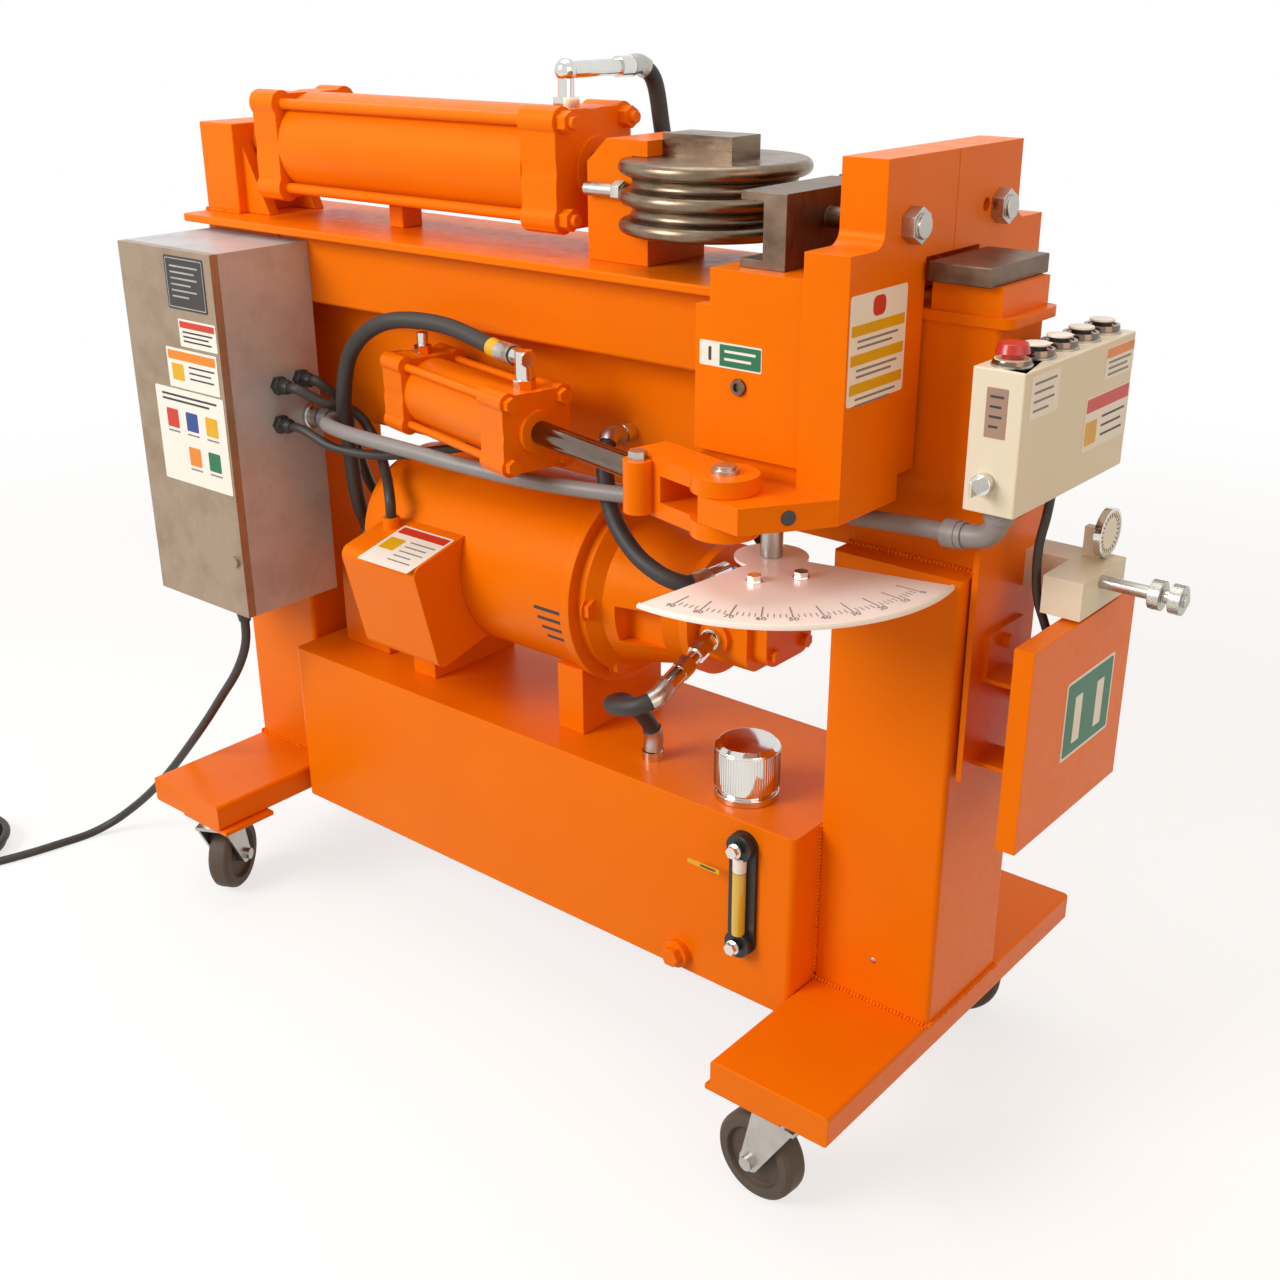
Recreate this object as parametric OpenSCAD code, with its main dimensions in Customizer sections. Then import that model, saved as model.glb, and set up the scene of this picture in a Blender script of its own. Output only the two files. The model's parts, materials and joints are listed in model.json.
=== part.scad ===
// Hydraulic pipe bender on casters: welded frame, horizontal ram with a radius die,
// two swinging gates with back shoes, gate cylinders, power unit and electrics.
// Millimetres. +X runs along the machine to the control end, +Z is up, the floor is at zero.

/* [Frame] */
// Distance between the middles of the two feet
foot_pitch = 1224; // [1180:1:1300]
// Width of a foot along the machine
foot_w = 181; // [160:1:220]
// Length of a foot across the machine
foot_len = 658; // [600:1:760]
// Thickness of a foot
foot_t = 45; // [35:1:60]
// Width of a column along the machine
column_w = 181; // [165:1:190]
// Depth of a column across the machine
column_d = 185; // [160:1:187]
// Wall of the columns and beams
tube_wall = 9; // [5:1:14]
// Height of the table above the floor
table_z = 1162; // [1130:1:1220]
// Thickness of the table
table_t = 12; // [8:1:18]
// Width of the table
table_w = 250; // [200:1:260]
// Height of the upper beam
beam_h = 105; // [80:1:130]
// Width of the upper beam
beam_w = 184; // [150:1:190]
// Height of the lower beam
web_h = 195; // [160:1:198]
// Width of the lower beam
web_w = 76; // [50:1:84]

/* [Tank] */
// Width of the oil tank
tank_w = 302; // [260:1:360]
// Height of the oil tank
tank_h = 279; // [240:1:300]
// Height of the tank's floor above the ground
tank_z = 188; // [183:1:200]
// Wall of the tank
tank_wall = 5; // [3:1:8]
// Diameter of the breather cap
breather_d = 90; // [70:1:95]
// Height of the breather cap
breather_h = 82; // [45:1:90]

/* [Ram] */
// Height of the ram's axis above the table
ram_rise = 110; // [108:1:120]
// Side of the ram's square heads
ram_head = 164; // [160:1:176]
// Outer diameter of the ram's barrel
ram_od = 154; // [140:1:156]
// Bore of the ram's barrel
ram_bore = 132; // [110:1:134]
// Length of the ram's barrel
ram_len = 514; // [470:1:540]
// Diameter of the ram's rod
ram_rod_d = 46; // [36:1:56]
// Working stroke of the ram
ram_stroke = 140; // [100:1:145]

/* [Dies] */
// Radius of the die over its rims
die_r = 124; // [118:1:128]
// Pitch of the rims
die_pitch = 36; // [30:1:38]
// Radius of a rim's rounded edge
rim_r = 10; // [8:0.5:12]
// Half width of the die holder
holder_half = 60; // [45:1:70]

/* [Gates] */
// Distance of a gate's pivot from the centre plane
pivot_y = 150; // [148:1:156]
// Diameter of a gate's pivot pin
pivot_d = 50; // [36:1:56]
// Thickness of a gate's slab
slab_t = 59; // [45:1:62]
// Height of the slab above the table
slab_rise = 166; // [140:1:180]
// Thickness of the gate's arm
arm_t = 32; // [24:1:40]
// Length of a back shoe
shoe_len = 182; // [150:1:190]
// Height of a back shoe
shoe_h = 84; // [70:1:96]
// Radius of the protractor
scale_r = 232; // [180:1:240]

/* [Gate cylinders] */
// Side of a gate cylinder's square heads
gate_head = 114; // [100:1:116]
// Outer diameter of a gate cylinder's barrel
gate_od = 100; // [84:1:106]
// Diameter of a gate cylinder's rod
gate_rod_d = 32; // [22:1:38]
// Diameter of the pins of a gate cylinder
gate_pin_d = 25; // [18:1:28]

/* [Power unit] */
// Diameter of the motor's body
motor_d = 284; // [250:1:296]
// Length of the motor's body
motor_len = 450; // [400:1:460]
// Height of the motor's axis above the tank
motor_rise = 223; // [200:1:230]
// Diameter of the motor's shaft
shaft_d = 28; // [20:1:36]
// Diameter of the hydraulic hoses
hose_d = 24; // [18:1:26]

/* [Electrics] */
// Width of the electrical cabinet
cabinet_w = 233; // [200:1:236]
// Depth of the cabinet without its door
cabinet_d = 166; // [130:1:180]
// Height of the cabinet
cabinet_h = 569; // [500:1:580]
// Sheet thickness of the cabinet
cabinet_wall = 3; // [2:0.5:5]
// Thickness of the door's folded edge
door_t = 14; // [10:1:20]
// Diameter of the grey conduit
conduit_d = 22; // [16:1:24]
// Diameter of the power cord
cord_d = 15; // [12:0.5:16]

/* [Controls] */
// Length of the control box across the machine
panel_w = 280; // [262:1:300]
// Depth of the control box along the machine
panel_d = 63; // [52:1:70]
// Height of the control box
panel_h = 161; // [140:1:180]
// Pitch of the push buttons
button_pitch = 56; // [46:1:58]
// Travel of a push button
button_travel = 5; // [2:0.5:5]

/* [Casters] */
// Height of a caster above its wheel
caster_rise = 53; // [48:1:62]
// Diameter of a wheel
wheel_d = 127; // [110:1:130]
// Width of a wheel
wheel_w = 38; // [30:1:44]
// Offset of the axle from the swivel axis
caster_trail = 38; // [30:1:45]

/* [Hidden] */
$fn = 48;

// Clearances: running fits, faces that slide past each other, and free gaps
run = 0.05;
slide = 0.3;

caster_h = wheel_d + caster_rise;

// Stations along the machine
right_x = foot_pitch / 2;
left_x = -right_x;
column_in = right_x - column_w / 2;
column_out = right_x + column_w / 2;
left_in = left_x + column_w / 2;
pivot_x = right_x - 142;
die_x = pivot_x - 208;
deck_end = pivot_x - 102;
beam_end = pivot_x - 125;
ram_front = pivot_x - 412;
ram_front_t = 64;
ram_rear_t = 55;
barrel_end = ram_front - ram_front_t;
barrel_start = barrel_end - ram_len;
ram_rear = barrel_start - ram_rear_t;
bracket_gap = 65;
bracket_l = 84;
bracket_x = ram_rear - bracket_gap;
deck_start = bracket_x - bracket_l;
knob_end = column_out + 222.5;
origin_x = (deck_start + knob_end) / 2;

// Heights
foot_top = caster_h + foot_t;
tank_top = tank_z + tank_h;
beam_top = table_z - table_t;
web_top = beam_top - beam_h;
web_bottom = web_top - web_h;
ram_z = table_z + ram_rise;
lug_bottom = table_z - 193;
lug_top = table_z - 1;
block_t = 43;
block_top = lug_top + block_t;
shelf_z = table_z + 73;
slab_top = table_z + slab_rise;
nose_top = table_z + 50;
arm_bottom = lug_bottom - arm_t;
arm_mid = lug_bottom - arm_t / 2;
cap_z = table_z - 17;
step_z = table_z - 307;
die_bottom = block_top + 2;
die_h = 2 * die_pitch + 2 * rim_r;
die_top = die_bottom + die_h;
motor_z = tank_top + motor_rise;

// Gate sizes, measured from the pivot
hub_left = 72;
hub_front = 64;
hub_plate = 16;
slab_near = 79;
slab_x = pivot_x + slab_near;
slab_out = 70;
neck_half = 56;
lid_half = neck_half + 4;
slab_in = lid_half + 2;
slab_half = 153;
split = 0.5;
shelf_r = 18;
lug_r = hub_front - hub_plate - slide;
spine_half = 50;
bolt_y = 102;
bolt_z = slab_top - 73;
bolt_d = 24;
shoe_tip = 28;
shoe_web = 31;
shoe_back = 34;
shoe_lip = 10;
shoe_end = 8;
block_left = 52;
block_in = 30;

// Gate cylinder: arm pin and tail pin in plan, for the front gate
arm_pin = [pivot_x + 16, -pivot_y - 120];
tail_pin = [pivot_x - 725, -web_w / 2 - 54];
link = arm_pin - tail_pin;
link_len = norm(link);
link_yaw = atan2(link[1], link[0]);
tail_rear = 45;
rear_head_t = 55;
front_head_end = 372;
front_head_t = 57;
piston_t = 30;
piston_x = 255;
jaw_reach = 85;
jaw_len = 60;
jaw_half = 28;
jaw_end_r = 40;
jaw_plate = 20;
lug_half = 20;
tail_plate = 12;
gate_wall = 6;

// Electrics
cabinet_x = left_x + 162;
cabinet_z = table_z - 22 - cabinet_h;
cabinet_back = -column_d / 2;
cabinet_front = cabinet_back - cabinet_d;
panel_x = column_out + 14.5;
panel_z = table_z - 202;
panel_top = panel_z + panel_h;
button_x = panel_x + panel_d / 2;
bezel_h = 8;
stem_r = 11;
gland_spots = [[-173, -232], [-130, -229], [-176, -293]];
conduit_y = -113;
conduit_z = table_z - 292;
cord_exit = [cabinet_x - 70, cabinet_front + 26, cabinet_z];
gland_len = 34;

// Guard and depth stop at the control end
guard_x = column_out + 117.5;
guard_z = table_z - 610;
guard_h = 259;
guard_w = 275;
guard_edge = 25;
guard_sheet = 4;
depth_x = column_out + 68.5;
depth_l = 50;
depth_z = table_z - 347;
depth_h = 47;
depth_y = 30;
knob_y = 22;
knob_z = depth_z + 36;
lever_x = column_out + 66;
lever_y = 66;
lever_z = table_z - 497;
lever_pin = 8;

// Casters: swivel axes, and the way each fork has turned
swivel_x = right_x - 7;
swivel_y = foot_len / 2 - 54;
plate_t = 8;
kingpin_r = 8;
axle_r = 6;
caster_turn = [175, 118, 200, 75];

// Motor
motor_start = pivot_x - 810;
motor_end = motor_start + motor_len;
ring_t = 18;
bell_len = 167;
pump_len = 105;
pump_x = motor_end + ring_t + bell_len;
stator_r = motor_d / 2 - 34;
rotor_r = stator_r - 3;

// Routes of the hoses, in plan from the pivot and the tank
elbow_x = 345;
elbow = concat(tail_pin + elbow_x * [cos(link_yaw), sin(link_yaw)], [arm_mid + gate_head / 2 + 36]);
manifold_x = motor_start - 62;
manifold_top = tank_top + 150;
gland_top = motor_z + 68;
elbow_way = [cos(link_yaw), sin(link_yaw), 0];
arch_top = [elbow - 24 * elbow_way, elbow - 60 * elbow_way, [-101, -146, 1063], [-216, -150, 1053],
    [-299, -146, 1001], [-332, -142, 921]];
arch_route = concat(arch_top, [[-352, -122, 846], [-366, -106, 776], [-380, -88, 728],
    [manifold_x + 6, -64, 694], [manifold_x, -52, manifold_top + 52], [manifold_x, -52, manifold_top + 30.3]]);
rear_route = concat(arch_top, [[-356, -136, 846], [-364, -126, 760], [manifold_x + 32, -120, 690],
    [manifold_x + 30, -116, 600], [manifold_x + 30, -116, tank_top + 0.2]]);
drop_x = pump_x + 24;
drop_z = motor_z + 76;
drop_route = [[150, -web_w / 2 - 20.4, 930], [150, -82, 930], [163, -108, 898], [190, -124, 840],
    [drop_x - 87, -132, 800], [drop_x - 45, -134, 780], [drop_x - 13, -126, 770], [drop_x, -106, drop_z],
    [drop_x, -80.4, drop_z]];
suction_route = [[pump_x + 30, -175, motor_z - 48.2], [pump_x + 30, -200.2, motor_z - 57.9],
    [pump_x + 10, -219, motor_z - 68], [pump_x - 26, -214, motor_z - 80], [pump_x - 56, -186, motor_z - 94],
    [pump_x - 70, -142, motor_z - 112], [pump_x - 72, -104, motor_z - 146], [pump_x - 68, -84, motor_z - 180],
    [pump_x - 68, -84, tank_top + 14.3]];
ram_port = [ram_front - 23, -28, ram_z + head_flat(ram_head, 20)];
ram_pipe_z = ram_port[2] + 47;
ram_hose_y = 88;
ram_route = [[ram_port[0], ram_hose_y + 14.2, ram_pipe_z], [ram_port[0], ram_hose_y + 38, ram_pipe_z],
    [40, 150, 1374], [46, 160, 1310], [64, 158, 1226], [100, 150, 1150], [150, 132, 1080], [172, 112, 1010],
    [178, 104, 950], [190, 104, 880], [pump_x - 69, 112, 810], [pump_x - 27, 126, 748], [pump_x + 11, 140, 698],
    [pump_x + 30, 130, motor_z - 12], [pump_x + 30, 104.4, motor_z - 12]];
conduit_route = [[cabinet_x + 26.2, conduit_y, conduit_z], [cabinet_x + 56, conduit_y, conduit_z],
    [-350, -164, 882], [-262, -190, 887], [-140, -188, 884], [-20, -178, 878], [90, -160, 874],
    [220, -140, 878], [360, -120, 892], [pivot_x, -107, 904], [pivot_x + 90, -107, 910],
    [pivot_x + 180, -108, 916], [pivot_x + 236, -111, 919], [button_x - 12, -112, 926],
    [button_x, -112, 943], [button_x, -112, panel_z - 0.2]];
cable_motor = [[cabinet_x + 30.2, -173, table_z - 232], [cabinet_x + 50, -173, table_z - 232],
    [-374, -146, 909], [-358, -118, 899], [-344, -100, 880], [-308, -104, 846], [-266, -126, 812],
    [-226, -156, 788], [-226, -156, gland_top + 0.2]];
cable_valve = [[cabinet_x + 30.2, -130, table_z - 229], [cabinet_x + 46, -130, table_z - 229],
    [-384, -100, 896], [-396, -76, 840], [manifold_x - 12, -36, 750], [manifold_x - 14, 0, 690],
    [manifold_x - 14, 0, manifold_top + 40.2]];
cable_limit = [[cabinet_x + 30.2, -176, table_z - 293], [cabinet_x + 56, -176, table_z - 293],
    [-330, -168, 850], [-250, -140, 846], [-160, -96, 862], [-110, -58, 872], [-100, -51, 886],
    [-100, -51, 899.7]];

// Route of the power cord: out of the gland, down to the floor and away to the coil
cord_r = cord_d / 2;
cord_lift = cord_r + 0.3;
cord_route = [cord_exit + [0, 0, -gland_len], [-522, -233, 505], [-534, -234, 472], [-562, -235, 428],
    [-606, -236, 376], [-660, -236, 314], [-726, -237, 242], [-796, -240, 168], [-862, -246, 104],
    [-918, -258, 54], [-954, -282, 22], [-972, -322, cord_lift], [-982, -376, cord_lift],
    [-996, -436, cord_lift], [-1018, -500, cord_lift]];
coil_start = [-1045, -555];
coil_angle = -30;
coil_step = cord_d + 1;
coil_layer = cord_d + 0.6;
coil_in_turns = 1.75;
coil_r0 = 6.4 * cord_d;
coil_ring = 24;
coil_tail = 80;
coil_centre = coil_start - coil_r0 * [cos(coil_angle), sin(coil_angle)];

// Basic solids

module span(x, y, z) {
    translate([x[0], y[0], z[0]]) cube([x[1] - x[0], y[1] - y[0], z[1] - z[0]]);
}

module rod_x(x0, x1, y, z, r) {
    translate([x0, y, z]) rotate([0, 90, 0]) cylinder(h = x1 - x0, r = r);
}

module rod_y(y0, y1, x, z, r) {
    translate([x, y0, z]) rotate([-90, 0, 0]) cylinder(h = y1 - y0, r = r);
}

module rod_z(z0, z1, x, y, r) {
    translate([x, y, z0]) cylinder(h = z1 - z0, r = r);
}

module hex_x(x0, x1, y, z, flats) {
    translate([x0, y, z]) rotate([0, 90, 0]) cylinder(h = x1 - x0, r = flats / sqrt(3), $fn = 6);
}

module hex_z(z0, z1, x, y, flats) {
    translate([x, y, z0]) cylinder(h = z1 - z0, r = flats / sqrt(3), $fn = 6);
}

// Rectangle with round corners, centred
module round_rect(w, h, r) {
    square([w - 2 * r, h], center = true);
    square([w, h - 2 * r], center = true);
    for (i = [-1, 1], j = [-1, 1]) translate([i * (w / 2 - r), j * (h / 2 - r)]) circle(r);
}

// Bars of a flat outline: along X the outline lies in Y and Z, along Y it lies in X and Z
module bar_x(x0, x1) {
    translate([x0, 0, 0]) rotate([90, 0, 90]) linear_extrude(x1 - x0) children();
}

module bar_y(y0, y1) {
    translate([0, y1, 0]) rotate([90, 0, 0]) linear_extrude(y1 - y0) children();
}

module rear_side() {
    mirror([0, 1, 0]) children();
}

module place() {
    translate([-origin_x, 0, 0]) children();
}

// Tubes swept along a smooth curve through hand-set points

function unit(v) = v / norm(v);
function curve_at(a, b, c, d, t) = 0.5 * (2 * b + (c - a) * t + (2 * a - 5 * b + 4 * c - d) * t * t
    + (3 * b - a - 3 * c + d) * t * t * t);
function near(p, i) = p[min(max(i, 0), len(p) - 1)];
function smooth(p, n) = concat([for (i = [0:len(p) - 2], k = [0:n - 1])
    curve_at(near(p, i - 1), p[i], p[i + 1], near(p, i + 2), k / n)], [p[len(p) - 1]]);
function headings(p, first, last) = [for (i = [0:len(p) - 1])
    unit(i == 0 ? first : i == len(p) - 1 ? last : p[i + 1] - p[i - 1])];
function carried(t, n, i = 0) = i >= len(t) ? [] :
    let (m = unit(n - (n * t[i]) * t[i])) concat([m], carried(t, m, i + 1));
function sideways(t) = abs(t[2]) > 0.9 ? [1, 0, 0] : [0, 0, 1];

module tube(p, r, sides, first, last_way) {
    t = headings(p, first, last_way);
    n = carried(t, sideways(t[0]));
    last = len(p) - 1;
    rings = [for (i = [0:last], k = [0:sides - 1])
        p[i] + r * (cos(360 * k / sides) * n[i] + sin(360 * k / sides) * cross(t[i], n[i]))];
    walls = [for (i = [0:last - 1], k = [0:sides - 1]) let (a = i * sides + k, b = i * sides + (k + 1) % sides)
        each [[a, b, b + sides], [a, b + sides, a + sides]]];
    start = [for (k = [1:sides - 2]) [0, k + 1, k]];
    end = [for (k = [1:sides - 2]) [last * sides, last * sides + k, last * sides + k + 1]];
    polyhedron(rings, [for (f = concat(start, walls, end)) [f[0], f[2], f[1]]], convexity = 8);
}

// A tube that leaves and ends straight along the first and last stretch of its route
module hose(route, r) {
    n = len(route) - 1;
    tube(smooth(route, 2), r, 8, route[1] - route[0], route[n] - route[n - 1]);
}

// Frame

module base_feet() color("darkorange") {
    for (x = [left_x, right_x]) {
        bar_y(-foot_len / 2, foot_len / 2) translate([x, caster_h + foot_t / 2]) round_rect(foot_w, foot_t, 6);
    }
    for (i = [-1, 1], j = [-1, 1]) difference() {
        span([i * swivel_x - 60 - 35 * i, i * swivel_x + 60 - 35 * i], [j * swivel_y - 50, j * swivel_y + 50],
            [caster_h - plate_t, caster_h]);
        rod_z(caster_h - plate_t - 1, caster_h + 1, i * swivel_x, j * swivel_y, kingpin_r + run);
    }
}

module tube_column(x, top) {
    translate([x, 0, foot_top]) linear_extrude(top - foot_top) difference() {
        round_rect(column_w, column_d, 8);
        round_rect(column_w - 2 * tube_wall, column_d - 2 * tube_wall, 4);
    }
}

module column_left() color("darkorange") tube_column(left_x, beam_top);

// The right column: wide below the step, then a narrower neck with a round-cornered lid and the block under
// the steel plate
module column_right() color("darkorange") {
    lid_over = 16;
    lid_t = 12;
    tube_column(right_x, step_z - tube_wall);
    translate([right_x, 0, step_z - tube_wall - 1]) linear_extrude(tube_wall + 1) round_rect(column_w, column_d, 8);
    translate([right_x, 0, step_z - 1]) linear_extrude(cap_z - step_z + 1) difference() {
        round_rect(column_w, 2 * neck_half, 8);
        round_rect(column_w - 2 * tube_wall, 2 * neck_half - 2 * tube_wall, 4);
    }
    translate([right_x + lid_over / 2, 0, cap_z]) linear_extrude(lid_t)
        round_rect(column_w + lid_over, 2 * lid_half, 14);
    span([pivot_x + 145, pivot_x + 234], [-neck_half, neck_half], [cap_z + lid_t, nose_top - 22]);
}

module beam_tube(w, h, wall) {
    difference() {
        round_rect(w, h, 6);
        round_rect(w - 2 * wall, h - 2 * wall, 3);
    }
}

// Upper and lower beam, and the bracket plates that hold the tails of the gate cylinders
module main_beam() color("darkorange") {
    bar_x(left_in, beam_end) translate([0, (beam_top + web_top) / 2]) beam_tube(beam_w, beam_h, tube_wall);
    bar_x(left_in, beam_end) translate([0, (web_top + web_bottom) / 2]) beam_tube(web_w, web_h, tube_wall);
    for (j = [-1, 1], k = [-1, 1]) difference() {
        low = arm_mid + (k > 0 ? lug_half + slide : -lug_half - slide - tail_plate);
        translate([0, 0, low]) linear_extrude(tail_plate) {
            translate([tail_pin[0], j * tail_pin[1]]) circle(28);
            translate([tail_pin[0] - 28, j > 0 ? tail_pin[1] : web_w / 2]) square([56, -tail_pin[1] - web_w / 2]);
        }
        rod_z(low - 1, low + tail_plate + 1, tail_pin[0], j * tail_pin[1], gate_pin_d / 2 + run);
    }
}

module table_plate() color("darkorange") {
    edge_x = (deck_start + deck_end) / 2;
    translate([edge_x, 0, beam_top]) linear_extrude(table_t) round_rect(deck_end - deck_start, table_w, 10);
}

// Spine between the beam and the right column, with a thick lug for each gate
module head_lugs() color("darkorange") difference() {
    union() {
        span([beam_end, column_in], [-spine_half, spine_half], [web_bottom, beam_top]);
        for (j = [-1, 1]) {
            rod_z(lug_bottom + 0.5, lug_top - 0.5, pivot_x, j * pivot_y, lug_r);
            span([pivot_x - 36, pivot_x + 36], [j > 0 ? spine_half - 1 : -pivot_y, j > 0 ? pivot_y : 1 - spine_half],
                [lug_bottom + 0.5, lug_top - 0.5]);
        }
    }
    for (j = [-1, 1]) rod_z(lug_bottom, lug_top, pivot_x, j * pivot_y, pivot_d / 2 + run);
}

module nose_plate() color("dimgray") {
    translate([pivot_x + 184.5, 0, nose_top - 22]) linear_extrude(22) round_rect(81, 140, 3);
}

// Gate pivots with their collars and scale post, and the tail pins of the gate cylinders
module pivot_pins() color("silver") for (j = [-1, 1]) {
    rod_z(arm_bottom - 12, block_top - 1, pivot_x, j * pivot_y, pivot_d / 2);
    rod_z(arm_bottom - 12 - slide, arm_bottom - slide, pivot_x, j * pivot_y, pivot_d / 2 + 13);
    rod_z(scale_z(), arm_bottom - 12, pivot_x, j * pivot_y, 14);
    pin_half = lug_half + slide + tail_plate;
    rod_z(arm_mid - pin_half - 6, arm_mid + pin_half, tail_pin[0], j * tail_pin[1], gate_pin_d / 2);
    rod_z(arm_mid + pin_half, arm_mid + pin_half + 8, tail_pin[0], j * tail_pin[1], gate_pin_d / 2 + 5);
}

function scale_z() = arm_bottom - 85;

// Protractor: a clear sector under the front gate, read against the arm
module protractor() color("ivory") {
    scale_t = 4;
    translate([pivot_x, -pivot_y, scale_z() - scale_t]) linear_extrude(scale_t) {
        circle(46);
        intersection() {
            circle(scale_r, $fn = 120);
            polygon([[0, 0], for (a = [-96, -60, -24, 12]) 1.4 * scale_r * [cos(a), sin(a)]]);
        }
    }
}

// Ram

module ram_bracket() color("darkorange") {
    difference() {
        union() {
            span([bracket_x - bracket_l, bracket_x], [-72, 72], [table_z, ram_z + 28]);
            for (j = [-1, 1]) bar_y(j * 46 - 10, j * 46 + 10)
                polygon([[bracket_x - 1, table_z], [bracket_x + 56, table_z], [bracket_x - 1, ram_z]]);
        }
        rod_x(bracket_x - bracket_l - 1, bracket_x + 1, 0, ram_z, 15 + run);
    }
    span([barrel_start + 180, barrel_start + 210], [-20, 20], [table_z, ram_z - ram_od / 2 - slide]);
}

// Square heads with tie-rod bosses, tie rods with nuts, gland and tail stud
module ram_heads() color("darkorange") {
    tie = ram_head / 2 - 20;
    difference() {
        union() {
            bar_x(barrel_end, ram_front) translate([0, ram_z]) head_outline(ram_head, 20);
            rod_x(ram_front, ram_front + 8, 0, ram_z, 42);
        }
        rod_x(barrel_end - 1, ram_front + 21, 0, ram_z, ram_rod_d / 2 + run);
    }
    difference() {
        union() {
            bar_x(ram_rear, barrel_start) translate([0, ram_z]) head_outline(ram_head, 20);
            rod_x(ram_rear - bracket_gap, ram_rear, 0, ram_z, 34);
        }
    }
    rod_x(bracket_x - bracket_l + 4, bracket_x, 0, ram_z, 15);
    for (i = [-1, 1], j = [-1, 1]) {
        rod_x(barrel_start, barrel_end, i * tie, ram_z + j * tie, 8);
        hex_x(ram_front, ram_front + 16, i * tie, ram_z + j * tie, 26);
        rod_x(ram_front + 16, ram_front + 24, i * tie, ram_z + j * tie, 8);
    }
}

function head_flat(side, boss) = (side - boss / 2) / 2;

// A square head with round bosses at its corners and hollowed flanks
module head_outline(side, boss) {
    difference() {
        square(2 * head_flat(side, boss), center = true);
        for (a = [0:90:270]) rotate(a) translate([side * 0.93, 0]) circle(side * 0.47);
    }
    for (i = [-1, 1], j = [-1, 1]) translate([i * (side / 2 - boss), j * (side / 2 - boss)]) circle(boss);
    circle(side * 0.46);
}

module ram_barrel() color("darkorange") difference() {
    rod_x(barrel_start, barrel_end, 0, ram_z, ram_od / 2);
    rod_x(barrel_start - 1, barrel_end + 1, 0, ram_z, ram_bore / 2);
}

module ram_rod() color("silver") {
    piston_start = barrel_start + 90;
    rod_x(piston_start, piston_start + 45, 0, ram_z, ram_bore / 2 - run);
    rod_x(piston_start + 45, holder_x() + 30, 0, ram_z, ram_rod_d / 2);
}

function holder_x() = die_x - 164;
function holder_nose() = die_x - 62;

// C-shaped holder that slides on the table and clasps the die from behind
module die_holder() color("darkorange") {
    mouth = die_x - 88;
    nose = holder_nose();
    difference() {
        bar_y(-holder_half, holder_half) polygon([[holder_x(), table_z + slide], [nose, table_z + slide],
            [nose, die_bottom], [mouth, die_bottom], [mouth, die_top + slide], [nose, die_top + slide],
            [nose, die_top + 20], [holder_x() + 34, die_top + 20], [holder_x(), die_top - 10]]);
        rod_x(holder_x() - 1, holder_x() + 30, 0, ram_z, ram_rod_d / 2 + run);
    }
    rod_x(holder_x() + 6, mouth - 4, -holder_half - 8, ram_z - 17, 9);
    hex_x(mouth - 20, mouth - 6, -holder_half - 8, ram_z - 17, 24);
}

// Round die with rims and grooves, cut flat at the back, and the clamp block over it
module radius_die() color("dimgray") {
    groove_r = die_pitch / 2 - rim_r;
    difference() {
        translate([die_x, 0, die_bottom]) rotate_extrude($fn = 96) polygon(concat([[0, 0]],
            [for (k = [0:2]) each concat([for (a = [-90:15:90])
                [die_r - rim_r + rim_r * cos(a), rim_r + k * die_pitch + rim_r * sin(a)]],
                k == 2 ? [] : [for (a = [-75:15:75]) [die_r - rim_r - groove_r * cos(a),
                    rim_r + (k + 0.5) * die_pitch + groove_r * sin(a)]])], [[0, die_h]]));
        span([die_x - die_r - 1, die_x - 88 + slide], [-die_r, die_r], [die_bottom - 1, die_top + 1]);
        rod_z(die_bottom - 1, die_top + 1, die_x + 10, 0, 12 + run);
    }
    rod_z(die_bottom, die_top, die_x + 10, 0, 12);
    span([holder_nose() + slide, holder_nose() + 110], [-30, 30], [die_top, die_top + 28]);
}

// Gates, drawn for the front side and mirrored for the rear

module slab_outline() {
    difference() {
        union() {
            polygon([[-pivot_y - slab_out, lug_bottom], [-slab_in, lug_bottom], [-slab_in, nose_top + 3],
                [-split, nose_top + 3], [-split, slab_top], [-slab_half, slab_top], [-slab_half, shelf_z],
                [-pivot_y - slab_out, shelf_z]]);
            translate([-slab_half - shelf_r, shelf_z]) square(shelf_r);
        }
        translate([-slab_half - shelf_r, shelf_z + shelf_r]) circle(shelf_r);
    }
}

module arm_outline() {
    translate([pivot_x, -pivot_y]) {
        circle(62);
        polygon([[138, slab_t - 5], [138, -slab_out], [70, -169], [6, -158], [-24, -110], [-50, -37], [-60, 0],
            [0, slab_t - 5]]);
    }
}

module gate_weldment() color("darkorange") difference() {
    union() {
        bar_x(slab_x, slab_x + slab_t) slab_outline();
        span([pivot_x - hub_left, slab_x + 1], [-pivot_y - hub_front, hub_plate - pivot_y - hub_front],
            [lug_bottom + jaw_plate + 2, lug_top + 1]);
        span([pivot_x - hub_left, slab_x + 1], [12.5 - pivot_y - hub_front, hub_plate - pivot_y - hub_front],
            [lug_bottom - 1, lug_bottom + jaw_plate + 3]);
        span([pivot_x - block_left, slab_x + 1], [-pivot_y - hub_front, -block_in], [lug_top, block_top]);
        translate([0, 0, arm_bottom]) linear_extrude(arm_t) arm_outline();
    }
    rod_z(arm_bottom - 1, block_top + 1, pivot_x, -pivot_y, pivot_d / 2 + run);
    rod_z(arm_bottom - 1, lug_bottom + 1, arm_pin[0], arm_pin[1], gate_pin_d / 2 + run);
    rod_x(slab_x - 1, slab_x + slab_t + 1, -bolt_y, bolt_z, bolt_d / 2 + slide);
    rod_x(slab_x + slab_t - 30, slab_x + slab_t + 1, -bolt_y + 30, bolt_z + 4, 8);
}

module gate_front() gate_weldment();
module gate_rear() rear_side() gate_weldment();

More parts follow.
